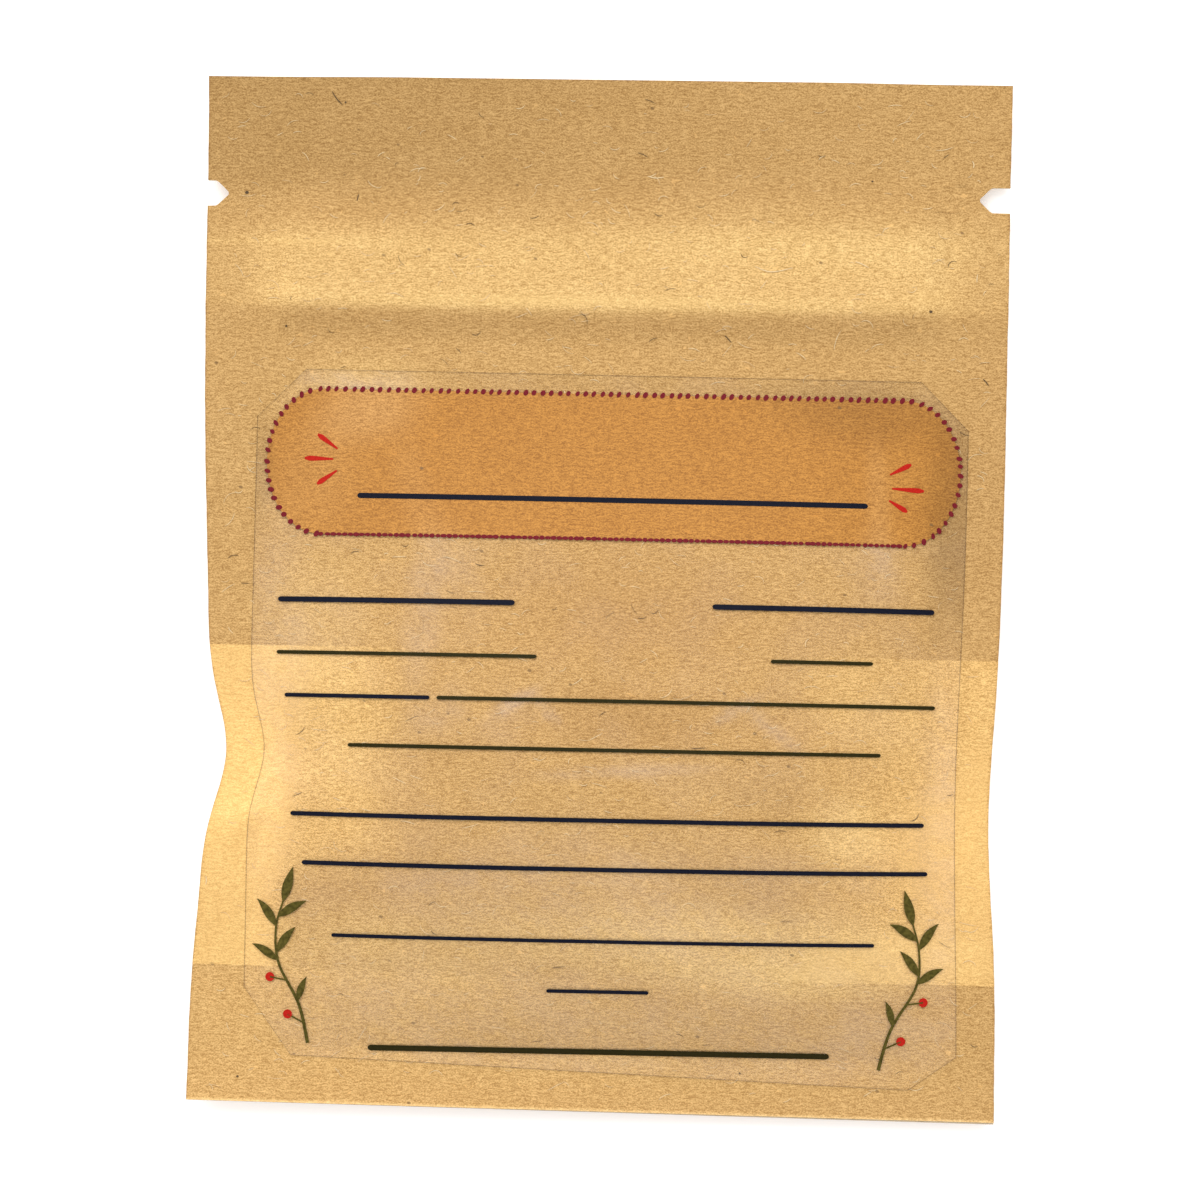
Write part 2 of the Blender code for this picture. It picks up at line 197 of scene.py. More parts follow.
def ramp(low, high, value):
    """0 below low, 1 above high, and smooth between."""
    t = np.clip((value - low) / (high - low), 0.0, 1.0)
    return t * t * (3.0 - 2.0 * t)


def bump(shape, y):
    size, place, spread = shape
    return size * bell(y - place, spread)


def drawn_up(x, y):
    return y * (LENGTH_DRAWN_UP + SKEW * x / HALF_WIDTH)


def as_cut(x, y):
    return y / (LENGTH_DRAWN_UP + SKEW * x / HALF_WIDTH)


def left_edge(y):
    return -HALF_WIDTH + sum(bump(dent, y) for dent in LEFT_DENTS)


def right_edge(y):
    return HALF_WIDTH - sum(bump(dent, y) for dent in RIGHT_DENTS)


def inside(x, y):
    return np.minimum(x - left_edge(y), right_edge(y) - x)


def seal_height(x, y):
    across = (x / HALF_WIDTH + 1) / 2
    along = (y / HALF_LENGTH + 1) / 2
    bottom = LIFT_BOTTOM_LEFT + (LIFT_BOTTOM_RIGHT - LIFT_BOTTOM_LEFT) * across
    top = LIFT_TOP_LEFT + (LIFT_TOP_RIGHT - LIFT_TOP_LEFT) * across
    height = bottom + (top - bottom) * along
    height = height + bump(LEFT_SIDE_LIFT, y) * (1 - across) ** 3
    height = height + bump(RIGHT_SIDE_LIFT, y) * across**3
    curl = MOUTH_CURL_LEFT + (MOUTH_CURL_RIGHT - MOUTH_CURL_LEFT) * across
    height = height + curl * np.maximum(0, (y - ZIP_HIGH) / (HALF_LENGTH - ZIP_HIGH)) ** 2
    return height + BOTTOM_CURL * np.maximum(0, (SEAL - HALF_LENGTH - y) / SEAL) ** 2


def fullness(x, y):
    left, right = left_edge(y) + SEAL, right_edge(y) - SEAL
    across = np.clip(np.abs(2 * x - left - right) / (right - left), 0, 1)
    low = -HALF_LENGTH + SEAL
    along = np.clip((y - low) / (ZIP_LOW - low), 0, 1)
    return (1 - across**SIDE_FULLNESS) * 27 / 4 * along * (1 - along) ** 2


def fold(x, y):
    (x0, y0), (x1, y1) = FOLD_START, FOLD_END
    run = math.hypot(x1 - x0, y1 - y0)
    along = ((x - x0) * (x1 - x0) + (y - y0) * (y1 - y0)) / run
    off = ((x - x0) * (y1 - y0) - (y - y0) * (x1 - x0)) / run
    ends = ramp(-1.0, 3.0, along) * (1 - ramp(run - 5.0, run + 1.0, along))
    return FOLD_HEIGHT * bell(off, FOLD_WIDTH) * ends


def zip_rise(x, y):
    open_part = ramp(SEAL, SEAL + 3.0, inside(x, y))
    tall = ZIP_TALL * (ZIP_CRUSHED + (1 - ZIP_CRUSHED) * open_part)
    towards_mouth = ramp(ZIP_HIGH, ZIP_HIGH + MOUTH_EASE, y)
    over_zip = ramp(ZIP_LOW - ZIP_EASE, ZIP_LOW, y) * (1 - towards_mouth)
    mouth = MOUTH_GAP * ramp(SEAL, SEAL + 12, inside(x, y)) * towards_mouth
    return tall * over_zip + mouth


def back(x, y):
    height = seal_height(x, y) - BACK_DEPTH * fullness(x, y)
    eased = np.maximum(0.0, height + TABLE_EASE) ** 2 / (4 * TABLE_EASE)
    return np.where(height > TABLE_EASE, height, eased)


def film_face(x, y):
    return back(x, y) + PAPER + GLUE_GAP


def crease_height(points, height, width, x, y):
    """A rounded ridge along a line of points, which fades at both ends."""
    total = np.zeros_like(x)
    count = len(points) - 1
    for i in range(count):
        (x0, y0), (x1, y1) = points[i], points[i + 1]
        dx, dy = x1 - x0, y1 - y0
        share = np.clip(((x - x0) * dx + (y - y0) * dy) / (dx * dx + dy * dy), 0, 1)
        away = np.hypot(x - x0 - share * dx, y - y0 - share * dy)
        place = (i + share) / count
        fade = ramp(0.0, 0.2, place) * ramp(0.0, 0.2, 1 - place)
        total = np.maximum(total, height * bell(away, width) * fade)
    return total


def lumps(x, y):
    """The front lies a little higher over each pod."""
    total = np.zeros_like(x)
    for middle, axis, _ in PODS:
        dx, dy = x - middle[0], y - middle[1]
        along = dx * axis[0] + dy * axis[1]
        off = dy * axis[0] - dx * axis[1]
        total = np.maximum(total, LUMP_HEIGHT * bell(along, LUMP_LONG) * bell(off, LUMP_WIDE))
    return total * ramp(1.0, 6.0, inside(x, y) - SEAL)


def relief(x, y):
    total = lumps(x, drawn_up(x, y))
    for points, height, width in CREASES:
        total = total + crease_height(points, height, width, x, drawn_up(x, y))
    return total


def front(x, y):
    """The inner face of the front panel."""
    level = seal_height(x, y) + STACK + FRONT_DEPTH * fullness(x, y)
    return level + zip_rise(x, y) + fold(x, y) + relief(x, y)


# Meshes


def new_object(name, verts, faces, looks, face_looks=None, smooth=True):
    """An object from points in millimetres, riding on the pouch's one body."""
    mesh = bpy.data.meshes.new(name)
    mesh.from_pydata((np.asarray(verts, float) * MM).tolist(), [], faces)
    for look in looks:
        mesh.materials.append(look)
    if face_looks is not None:
        mesh.polygons.foreach_set("material_index", np.asarray(face_looks, np.int32))
    if smooth:
        mesh.shade_smooth()
        mesh.set_sharp_from_angle(angle=math.radians(50))
    mesh.update()
    obj = bpy.data.objects.new(name, mesh)
    bpy.context.scene.collection.objects.link(obj)
    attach(obj, "root")
    return obj


def slab(name, x, y, low, high, looks, tone=None):
    """A closed sheet over a grid of places, between two heights.

    Its materials are for the upper face, the lower face and the cut edge.
    """
    rows, columns = x.shape
    count = rows * columns
    index = np.arange(count).reshape(rows, columns)
    a, b = index[:-1, :-1], index[:-1, 1:]
    c, d = index[1:, 1:], index[1:, :-1]
    upper = np.stack([a, b, c, d], -1).reshape(-1, 4) + count
    lower = np.stack([a, d, c, b], -1).reshape(-1, 4)
    ring = np.concatenate([index[0, :-1], index[:-1, -1], index[-1, :0:-1], index[:0:-1, 0]])
    after = np.roll(ring, -1)
    rim = np.stack([ring, after, after + count, ring + count], -1)
    faces = np.concatenate([upper, lower, rim])
    face_looks = np.repeat([0, 1, 2], [len(upper), len(lower), len(rim)])
    places = [np.stack([x, y, level], -1).reshape(-1, 3) for level in (low, high)]
    obj = new_object(name, np.concatenate(places), faces.tolist(), looks, face_looks)
    if tone is not None:
        add_tone(obj.data, np.concatenate([tone.reshape(-1, 3)] * 2))
    return obj


def add_tone(mesh, colours):
    """A colour for each point, which the materials read as the attribute tone."""
    layer = mesh.attributes.new("tone", "FLOAT_COLOR", "POINT")
    layer.data.foreach_set("color", np.c_[colours, np.ones(len(colours))].ravel())


def spaced(low, high, cell, extra=()):
    """Even places from low to high, with finer ones at both ends and the extra ones."""
    count = max(2, round((high - low) / cell))
    places = set(np.linspace(low, high, count + 1)[1:-1].tolist())
    ends = [low + step for step in EDGE_CELLS] + [high - step for step in EDGE_CELLS]
    kept = sorted(ends + [e for e in extra if low < e < high])
    near = [p for p in places if min(abs(p - k) for k in kept) > cell * 0.35]
    return np.array(sorted(set(near + kept)))


def notch_depth(y, notch):
    """How far a tear notch cuts in, at a real place along the pouch."""
    place, straight = notch
    off = np.abs(y - place) / (NOTCH_TALL / 2)
    point = NOTCH_POINT * np.interp(off, (0.12, 0.88, 1.0), (1.0, 0.2, 0.0))
    return np.where(off < 1, straight + point, 0.0)


def wander(y, seed):
    """The small unevenness of a cut edge."""
    waves = ((0.9, 1.0), (2.3, 0.8), (5.1, 0.5), (9.7, 0.4))
    return CUT_WAVE * sum(size * np.sin(y * often + seed * 1.7 * often) for often, size in waves)


def sheet_grid(low, high):
    """Places over the whole width of the pouch, in x and in y as cut, notches included."""
    extra = [line + side for line in (WINDOW_LOW, WINDOW_HIGH) for side in (-STEP_HALF, STEP_HALF)]
    extra += [ZIP_CREASE - 0.2, ZIP_CREASE, ZIP_CREASE + 0.2]
    for side, (place, _) in ((-HALF_WIDTH, LEFT_NOTCH), (HALF_WIDTH, RIGHT_NOTCH)):
        for share in (-1.005, -0.995, -0.88, -0.5, -0.12, 0.12, 0.5, 0.88, 0.995, 1.005):
            extra.append(as_cut(side, place + share * NOTCH_TALL / 2))
    rows = spaced(low, high, CELL, extra)
    shares = spaced(-HALF_WIDTH, HALF_WIDTH, CELL) / (2 * HALF_WIDTH) + 0.5
    y = np.repeat(rows[:, None], len(shares), 1)
    left = left_edge(rows) + wander(rows, 1)
    left = left + notch_depth(drawn_up(-HALF_WIDTH, rows), LEFT_NOTCH)
    right = right_edge(rows) + wander(rows, 2)
    right = right - notch_depth(drawn_up(HALF_WIDTH, rows), RIGHT_NOTCH)
    x = left[:, None] + (right - left)[:, None] * shares[None, :]
    return x, y


# Light and shade painted on the front paper: light through the window and off the zip, less of it over
# the contents, shade above the zip and at the edges

# What each tone multiplies red, green and blue by where it is full
WINDOW_LIGHT_GAIN = (1.42, 1.48, 1.46)
ZIP_HIGHLIGHT_GAIN = (1.29, 1.38, 1.46)
LIT_GAIN = (1.30, 1.42, 1.50)
MOUTH_SHADE_GAIN = (0.86, 0.85, 0.83)
LOW_LIGHT_GAIN = (1.13, 1.14, 1.14)
EDGE_GAIN = (0.72, 0.66, 0.60)
LOW_EDGE_GAIN = (1.45, 1.60, 1.90)

# Window light across the pouch: from x, to x, share. The fades take light away over the contents on
# the left, the first only low down, and the steps on the right add it.
FADE_LOW_LEFT = (-29.5, -25.5, 0.75)
FADE_LEFT = (-28.5, -23.5, 0.40)
FADED_LEFT = (-23.0, -14.0)
LOW_DOWN = (-21.0, -28.0)  # from y, to y
STEPS_RIGHT = ((15.0, 22.0, 0.30), (23.0, 30.0, 0.36), (31.0, 32.5, 0.13))
# Where it peaks at each side: strength, y and spread, and where that ends or starts in x
LEFT_PEAK, LEFT_PEAK_ENDS = (0.75, -17.8, 4.8), (-28.5, -25.5)
RIGHT_PEAK, RIGHT_PEAK_STARTS = (0.45, -21.5, 5.0), (20.0, 27.0)

# Light on the zip's band: where it starts and fades in y, from the band's edges, and in x, from the
# seals' inner edges; then its strength in the seals and what is added between them
ZIP_LIGHT_STARTS, ZIP_LIGHT_FADES = (-1.2, -0.2), (-0.6, 2.8)
ZIP_OPENS = (-3.5, 2.5)
ZIP_BAND = (0.30, 0.68)
ZIP_ENDS, ZIP_END_PLACES = (0.42, 26.5, 0.55), ((-28.3, 1.5), (28.0, 1.2))
CREASE_LIGHT, CREASE_FADES = (0.55, ZIP_CREASE, 0.16), (-27.0, -12.0)

# The stretch above the zip, painted darker as it curls away from the light, from the zip and across,
# and how far the edges' painted shades reach
MOUTH_STARTS = (2.0, 6.0)
MOUTH_FADE = (-30.0, 32.0, 0.75)
LOW_FADES = (-34.0, 34.0)
SIDE_SHADE = (0.03, 0.12)
MOUTH_SHADE = 0.09
LOW_EDGE_LIGHT = (0.04, 0.20)

# Where more or less light comes off the paper: middle, half length, half width, turn in degrees,
# strength
LIT = (
    ((13.0, -30.4), 18.0, 3.4, -2, 0.95),
    ((-16.0, -30.8), 14.0, 3.6, 0, 0.50),
    ((0.0, -38.0), 30.0, 4.6, -2, 0.29),
    ((-21.4, 17.0), 5.6, 3.2, 8, 0.62),
    ((-25.0, -2.6), 5.5, 6.0, 0, 0.36),
    ((-22.0, -12.0), 6.0, 5.0, 0, 0.20),
    ((2.0, -22.0), 16.0, 7.0, 0, 0.12),
    ((1.6, -1.0), 12.0, 6.0, 0, -0.24),
    ((2.0, -10.6), 8.0, 3.0, 0, -0.22),
    ((33.4, 10.0), 4.0, 12.0, 0, -0.15),
    ((20.0, 31.5), 18.0, 3.0, 0, 0.16),
    ((12.0, 32.6), 24.0, 2.0, 0, 0.12),
    ((0.0, 25.2), 24.0, 1.0, 0, 0.34),
    ((21.2, -20.2), 3.4, 3.0, 0, 0.55),
    ((22.0, -8.6), 5.6, 3.6, -20, 0.20),
    ((16.0, -33.2), 10.0, 1.8, -2, 0.36),
    ((0.0, -26.6), 12.0, 3.0, 0, 0.16),
)
# Where the label's film looks milky, as it has not wetted the paper, and painted highlights along its
# creases, in the same form
MILKY_AND_HIGHLIGHTS = (
    ((-20.6, 15.8), 4.6, 2.8, 15, 0.072),
    ((-25.0, 10.0), 3.6, 5.0, 0, 0.022),
    ((-23.4, 18.2), 3.4, 0.8, -6, 0.050),
    ((-16.0, 8.0), 1.6, 6.0, 18, 0.022),
    ((-12.6, 1.4), 2.4, 5.0, 20, 0.026),
    ((23.9, 8.6), 1.1, 5.4, 4, 0.034),
    ((24.0, 3.0), 1.8, 3.4, 10, 0.040),
    ((-15.4, -2.4), 1.7, 6.4, -4, 0.040),
    ((-13.4, -10.4), 2.6, 1.8, 30, 0.036),
    ((-7.4, -9.6), 2.6, 0.6, 32, 0.070),
    ((-4.4, -10.2), 1.8, 0.5, -48, 0.060),
    ((-8.0, -11.4), 3.6, 1.6, 25, 0.018),
    ((11.6, -9.8), 2.8, 0.6, 30, 0.052),
    ((15.0, -11.4), 3.0, 0.7, -38, 0.048),
    ((2.2, -15.2), 7.4, 0.6, 3, 0.056),
    ((-28.2, -10.0), 2.8, 17.0, 0, 0.034),
    ((30.4, -20.0), 2.6, 14.0, 0, 0.044),
    ((-24.4, -3.6), 4.0, 3.0, 20, 0.020),
    ((0.0, -37.4), 36.0, 6.0, -2, 0.034),
    ((26.0, -37.6), 6.0, 3.0, 0, 0.020),
    ((0.0, -25.6), 24.0, 5.0, 0, 0.034),
    ((14.0, -30.4), 16.0, 3.0, -2, 0.020),
    ((-12.0, -24.6), 7.0, 1.0, 8, 0.014),
)
# Where it lies off the paper and shades it, in the same form
SHADED = (
    ((31.0, 7.0), 3.0, 10.0, 0, 0.092),
    ((23.0, 16.6), 9.0, 3.2, -3, 0.058),
    ((4.0, 18.4), 22.0, 0.8, -1, 0.026),
    ((-29.6, 10.4), 0.9, 4.0, 0, 0.055),
    ((1.4, -11.6), 5.6, 2.4, 0, 0.014),
)


def window_light(x, y):
    """Painted light through the window: 1 in the strip where only film lies behind the front, and less
    over the contents.
    """
    strip = (y > WINDOW_LOW) & (y < WINDOW_HIGH)
    left = 1 - steps(x, FADE_LOW_LEFT) * ramp(*LOW_DOWN, y) - steps(x, FADE_LEFT)
    left = np.clip(left, 0, 1) * (1 - ramp(*FADED_LEFT, x))
    left_peak = bump(LEFT_PEAK, y) * (1 - ramp(*LEFT_PEAK_ENDS, x))
    right_peak = bump(RIGHT_PEAK, y) * ramp(*RIGHT_PEAK_STARTS, x)
    return strip * (np.clip(left + steps(x, *STEPS_RIGHT), 0, 1) + left_peak + right_peak)


def steps(x, *shares):
    return sum(share * ramp(low, high, x) for low, high, share in shares)


def zip_highlight(x, y):
    """Painted highlight on the zip's band, which stands up to the light and is crushed in the side
    seals, partly the white zip showing through the paper, and along the crease at its top.
    """
    starts, fades = np.add(ZIP_LOW, ZIP_LIGHT_STARTS), np.add(ZIP_HIGH, ZIP_LIGHT_FADES)
    band = ZIP_BAND[0] + ZIP_BAND[1] * ramp(*np.add(SEAL, ZIP_OPENS), inside(x, y))
    band = band * ramp(*starts, y) * (1 - ramp(*fades, y))
    ends = bump(ZIP_ENDS, y) * sum(bell(x - place, spread) for place, spread in ZIP_END_PLACES)
    return band + ends + bump(CREASE_LIGHT, y) * (1 - ramp(*CREASE_FADES, x))


def tinted(tone, share, gain):
    return tone * (1 + share[..., None] * (np.array(gain) - 1))


# Light and shade painted on the front paper, as a colour for each point that the kraft material
# multiplies by
def front_light_and_shade(x, y):
    tone = np.ones(x.shape + (3,))
    tone = tinted(tone, window_light(x, y), WINDOW_LIGHT_GAIN)
    tone = tinted(tone, zip_highlight(x, y), ZIP_HIGHLIGHT_GAIN)
    tone = tinted(tone, patches(LIT, x, drawn_up(x, y)), LIT_GAIN)
    above = ramp(*np.add(ZIP_HIGH, MOUTH_STARTS), y)
    tone = tinted(tone, above * (1 - steps(x, MOUTH_FADE)), MOUTH_SHADE_GAIN)
    # Painted light: the strip below the window is lighter, most at the left and fading towards the
    # right
    below = 1 - ramp(WINDOW_LOW - 2 * STEP_HALF, WINDOW_LOW, y)
    tone = tinted(tone, below * (1 - ramp(*LOW_FADES, x)), LOW_LIGHT_GAIN)
    # Painted shade along the side edges and the mouth's edge, then a pale line along the low edge that
    # is partly the pale core of its cut and partly a painted highlight
    sides = 1 - ramp(*SIDE_SHADE, inside(x, y))
    mouth_edge = ramp(HALF_LENGTH - MOUTH_SHADE, HALF_LENGTH, y)
    tone = tinted(tone, np.maximum(sides, mouth_edge), EDGE_GAIN)
    from_low_edge = y + HALF_LENGTH - np.interp(x, (-HALF_WIDTH, HALF_WIDTH), BACK_SHOWS)
    return tinted(tone, 1 - ramp(*LOW_EDGE_LIGHT, from_low_edge), LOW_EDGE_GAIN)


def patches(shapes, x, y):
    """Soft-edged ovals, added up."""
    total = np.zeros_like(x)
    for (middle_x, middle_y), long, wide, turn, strength in shapes:
        angle = math.radians(turn)
        dx, dy = x - middle_x, y - middle_y
        along = dx * math.cos(angle) + dy * math.sin(angle)
        off = dy * math.cos(angle) - dx * math.sin(angle)
        total = total + strength * (1 - ramp(0.25, 1.5, np.hypot(along / long, off / wide)))
    return total


# Materials


class Graph:
    """Short ways to add and link the nodes of one material."""

    def __init__(self, name):
        self.material = bpy.data.materials.new(name)
        self.material.use_nodes = True
        self.tree = self.material.node_tree
        self.shader = self.tree.nodes["Principled BSDF"]

    def add(self, kind, settings=(), **inputs):
        node = self.tree.nodes.new("ShaderNode" + kind)
        for key, value in dict(settings).items():
            setattr(node, key, value)
        for key, value in inputs.items():
            self.put(node.inputs[key.replace("_", " ")], value)
        return node

    def put(self, socket, value):
        if isinstance(value, bpy.types.NodeSocket):
            self.tree.links.new(value, socket)
        else:
            socket.default_value = value

    def set(self, **inputs):
        for key, value in inputs.items():
            self.put(self.shader.inputs[key.replace("_", " ")], value)

    def math(self, operation, *values):
        node = self.add("Math", {"operation": operation})
        for socket, value in zip(node.inputs, values):
            self.put(socket, value)
        return node.outputs[0]

    def mix(self, share, first, second, blend="MIX"):
        node = self.add("Mix", {"data_type": "RGBA", "blend_type": blend})
        self.put(node.inputs["Factor"], share)
        self.put(node.inputs["A"], (*first, 1) if isinstance(first, tuple) else first)
        self.put(node.inputs["B"], (*second, 1) if isinstance(second, tuple) else second)
        return node.outputs["Result"]

    def flat(self, tall=0.0):
        """Places on the object in millimetres, with their height scaled."""
        source = self.add("TexCoord").outputs["Object"]
        return self.add("Mapping", Vector=source, Scale=(1 / MM, 1 / MM, tall / MM)).outputs[0]

    def bent(self, reach, size):
        """Places in millimetres, bent by a soft noise."""
        place = self.flat()
        swirl = self.add("TexNoise", Vector=place, Scale=1 / size, Detail=1.0)
        off = self.add("VectorMath", {"operation": "SUBTRACT"})
        self.put(off.inputs[0], swirl.outputs["Color"])
        off.inputs[1].default_value = (0.5, 0.5, 0.5)
        moved = self.add("VectorMath", {"operation": "MULTIPLY_ADD"})
        self.put(moved.inputs[0], off.outputs[0])
        moved.inputs[1].default_value = (reach, reach, 0)
        self.put(moved.inputs[2], place)
        return moved.outputs[0]

    def places(self, scale=(1, 1, 0), turn=0.0, start=None):
        """Places in millimetres, turned and then stretched."""
        if start is None:
            start = self.flat(scale[2])
        turned = self.add("Mapping", Vector=start, Rotation=(0, 0, turn))
        stretched = self.add("Mapping", Vector=turned.outputs[0], Scale=(scale[0], scale[1], 1))
        return stretched.outputs[0]

    def noise(self, place, scale=1.0, detail=2.0, roughness=0.5):
        node = self.add("TexNoise", Vector=place, Scale=scale, Detail=detail)
        node.inputs["Roughness"].default_value = roughness
        return node.outputs["Fac"]

    def weighted(self, *parts):
        """The sum of values, each times its weight."""
        first, *others = (self.math("MULTIPLY", value, weight) for value, weight in parts)
        for other in others:
            first = self.math("ADD", first, other)
        return first

    def levels(self, value, low, high, start=0.0, end=1.0):
        node = self.add("MapRange", {"interpolation_type": "SMOOTHSTEP"}, Value=value)
        for key, number in zip(("From Min", "From Max", "To Min", "To Max"), (low, high, start, end)):
            node.inputs[key].default_value = number
        return node.outputs[0]

    def bump(self, height, distance, strength=1.0):
        node = self.add("Bump", Height=height, Distance=distance * MM, Strength=strength)
        self.put(self.shader.inputs["Normal"], node.outputs[0])


# The paper's darkest and palest fibres and its uneven patches, against its colour, and its specks
KRAFT_DARK = (0.66, 0.60, 0.50)
KRAFT_PALE = (1.30, 1.38, 1.52)
MOTTLED = (0.93, 0.91, 0.87)
CLOUDED = (0.94, 0.92, 0.88)
BARK = (0.16, 0.09, 0.035)


def kraft_material(name, colour, toned=True, roughness=0.82, bumps=0.5):
    """Unbleached paper: long fibres in wavy streaks, pale and dark single fibres, specks."""
    g = Graph(name)
    bent = g.bent(0.85, 1.8)
    long = g.noise(g.places((1.3, 6.4, 0), 0.0, bent), 1.0, 2.0, 0.62)
    rising = g.noise(g.places((3.0, 9.0, 0), math.radians(32), bent), 1.0, 1.0, 0.5)
    falling = g.noise(g.places((3.0, 9.0, 0), math.radians(-35), bent), 1.0, 1.0, 0.5)
    cloud = g.noise(g.places((0.7, 1, 0)), 0.22, 4.0, 0.62)
    mottle = g.noise(g.places((0.8, 1, 0)), 0.95, 2.0, 0.6)
    grain = g.noise(g.places((1, 1.3, 0)), 7.0, 1.0, 0.8)

    body = g.weighted((long, 0.32), (rising, 0.16), (falling, 0.16), (grain, 0.36))
    shade = g.levels(body, 0.38, 0.62)
    dark = tuple(c * k for c, k in zip(colour, KRAFT_DARK))
    pale = tuple(c * k for c, k in zip(colour, KRAFT_PALE))
    tint = g.mix(shade, dark, pale)
    tint = g.mix(g.levels(mottle, 0.34, 0.68, 0.0, 0.6), tint,
                 g.mix(1.0, tint, MOTTLED, "MULTIPLY"))
    tint = g.mix(g.levels(cloud, 0.34, 0.66, 0.0, 0.75), tint,
                 g.mix(1.0, tint, CLOUDED, "MULTIPLY"))

    # Thin pale fibres: where a soft noise crosses its middle, broken into short lengths
    line = g.noise(g.places((0.55, 1.1, 0), 0.0, bent), 1.0, 1.0)
    away = g.math("ABSOLUTE", g.math("SUBTRACT", line, 0.5))
    broken = g.levels(g.noise(g.places((0.8, 1.6, 0), 0.6), 1.0, 2.0), 0.56, 0.62)
    fibre = g.math("MULTIPLY", g.levels(away, 0.010, 0.0), broken)
    tint = g.mix(g.math("MULTIPLY", fibre, 0.45), tint, tuple(min(1.0, c * 1.6) for c in colour))

    # Specks of bark: a few cells of a scatter, each with a small dark middle
    place = g.places((0.55, 0.8, 0), 0.3)
    cells = g.add("TexVoronoi", {"feature": "F1"}, Vector=place, Scale=1.0)
    chosen = g.levels(g.add("SeparateColor", Color=cells.outputs["Color"]).outputs[0], 0.93, 0.94)
    speck = g.math("MULTIPLY", g.levels(cells.outputs["Distance"], 0.13, 0.07), chosen)
    tint = g.mix(g.math("MULTIPLY", speck, 0.7), tint, BARK)

    # The tone attribute holds painted light and shade; where its painted light is strongest the fibres
    # show less
    if toned:
        tone = g.add("Attribute", {"attribute_name": "tone"}).outputs["Color"]
        lit_through = g.add("SeparateColor", Color=tone).outputs[0]
        tint = g.mix(g.levels(lit_through, 1.32, 1.42, 0.0, 0.38), tint, colour)
        tint = g.mix(1.0, tint, tone, "MULTIPLY")
    g.set(Base_Color=tint, Roughness=g.levels(grain, 0.2, 0.8, roughness - 0.08, roughness + 0.06))
    g.shader.inputs["Specular IOR Level"].default_value = 0.2
    g.bump(g.noise(g.places((1.5, 6.0, 0), 0.06), 1.0, 1.0, 0.6), 0.05, bumps)
    return g.material


def edge_material(name, colour):
    """The cut edge of the paper: torn fibre ends."""
    g = Graph(name)
    ends = g.noise(g.places((3.0, 3.0, 3.0)), 1.0, 3.0)
    dark = tuple(c * 0.8 for c in colour)
    g.set(Base_Color=g.mix(g.levels(ends, 0.3, 0.7), dark, colour), Roughness=0.85)
    return g.material


def plastic_material(name, colour, roughness, alpha=1.0, haze=0.1):
    """Milky film or moulded plastic with drawing lines and small variations."""
    g = Graph(name)
    drawn = g.noise(g.places((0.15, 2.2, 2.2)), 1.0, 3.0)
    cloud = g.noise(g.places((1, 1, 1)), 0.35, 3.0)
    pale = tuple(min(1.0, c * 1.08) for c in colour)
    dull = tuple(c * 0.92 for c in colour)
    g.set(Base_Color=g.mix(g.levels(cloud, 0.3, 0.7), dull, pale))
    g.set(Roughness=g.levels(drawn, 0.3, 0.7, roughness - 0.06, roughness + 0.06))
    if alpha < 1:
        g.set(Alpha=g.levels(cloud, 0.25, 0.75, alpha - haze, alpha + haze))
    g.bump(drawn, 0.03, 0.4)
    return g.material


def label_material(name):
    """Clear film: a little milky all over, more in places with painted highlights, painted darker in
    places, with a dark cut edge that is partly glue dirt and partly painted shadow.
    """
    g = Graph(name)
    clouds = g.noise(g.places(), 0.16, 1.0, 0.62)
    uneven = g.noise(g.places((0.6, 1, 0), 0.5), 0.55, 2.0, 0.65)
    tone = g.add("Attribute", {"attribute_name": "tone"}).outputs["Color"]
    parts = g.add("SeparateColor", Color=tone).outputs
    # Milky film, with painted highlights along its creases
    milk = g.math("ADD", g.levels(clouds, 0.42, 0.66, 0.003, 0.016),
                  g.math("MULTIPLY", parts[1], g.levels(uneven, 0.36, 0.60, 0.55, 1.15)))
    # Painted shade where the film lies off the paper, and the dark line at its cut edge, partly glue
    # dirt and partly painted shadow
    dull = g.math("ADD", parts[2], g.math("MULTIPLY", parts[0], 0.30))
    cover = g.math("ADD", milk, dull)
    g.set(Base_Color=g.mix(g.math("DIVIDE", dull, cover), (0.78, 0.69, 0.63), (0.10, 0.055, 0.022)))
    g.set(Alpha=cover)
    g.shader.inputs["Specular IOR Level"].default_value = 0.12
    g.set(Roughness=g.levels(uneven, 0.3, 0.7, 0.26, 0.40))
    wave = g.noise(g.places(), 0.45, 0.0)
    g.bump(wave, 0.05, 0.35)
    return g.material


def ink_material(name, colour, spread=0.16, speckle=7.0):
    """Laser print: slightly uneven cover."""
    g = Graph(name)
    cover = g.noise(g.places(), speckle, 2.0, 0.7)
    dark = tuple(c * (1 - spread) for c in colour)
    pale = tuple(min(1.0, c * (1 + spread) + 0.004) for c in colour)
    g.set(Base_Color=g.mix(g.levels(cover, 0.3, 0.7), dark, pale), Roughness=0.45)
    g.shader.inputs["Specular IOR Level"].default_value = 0.05
    g.bump(cover, 0.01, 0.3)
    return g.material


def husk_material(name):
    """Dried green husk: long pale ribs, brown at the ends, fine lengthwise wrinkles."""
    g = Graph(name)
    blotch = g.noise(g.places((1, 1, 1)), 0.45, 4.0, 0.6)
    grain = g.noise(g.places((1, 1, 1)), 3.5, 3.0, 0.6)
    tint = g.mix(g.levels(blotch, 0.35, 0.65), (0.21, 0.25, 0.075), (0.37, 0.39, 0.15))
    tint = g.mix(g.levels(grain, 0.45, 0.75, 0.0, 0.5), tint, (0.46, 0.42, 0.21))
    tone = g.add("Attribute", {"attribute_name": "tone"}).outputs["Color"]
    tint = g.mix(1.0, tint, tone, "MULTIPLY")
    g.set(Base_Color=tint, Roughness=g.levels(grain, 0.2, 0.8, 0.55, 0.72))
    g.bump(grain, 0.05, 0.6)
    return g.material


KRAFT = (0.505, 0.298, 0.108)
CLEAR_ORANGE = (0.440, 0.190, 0.034)  # the paper seen through the orange ink

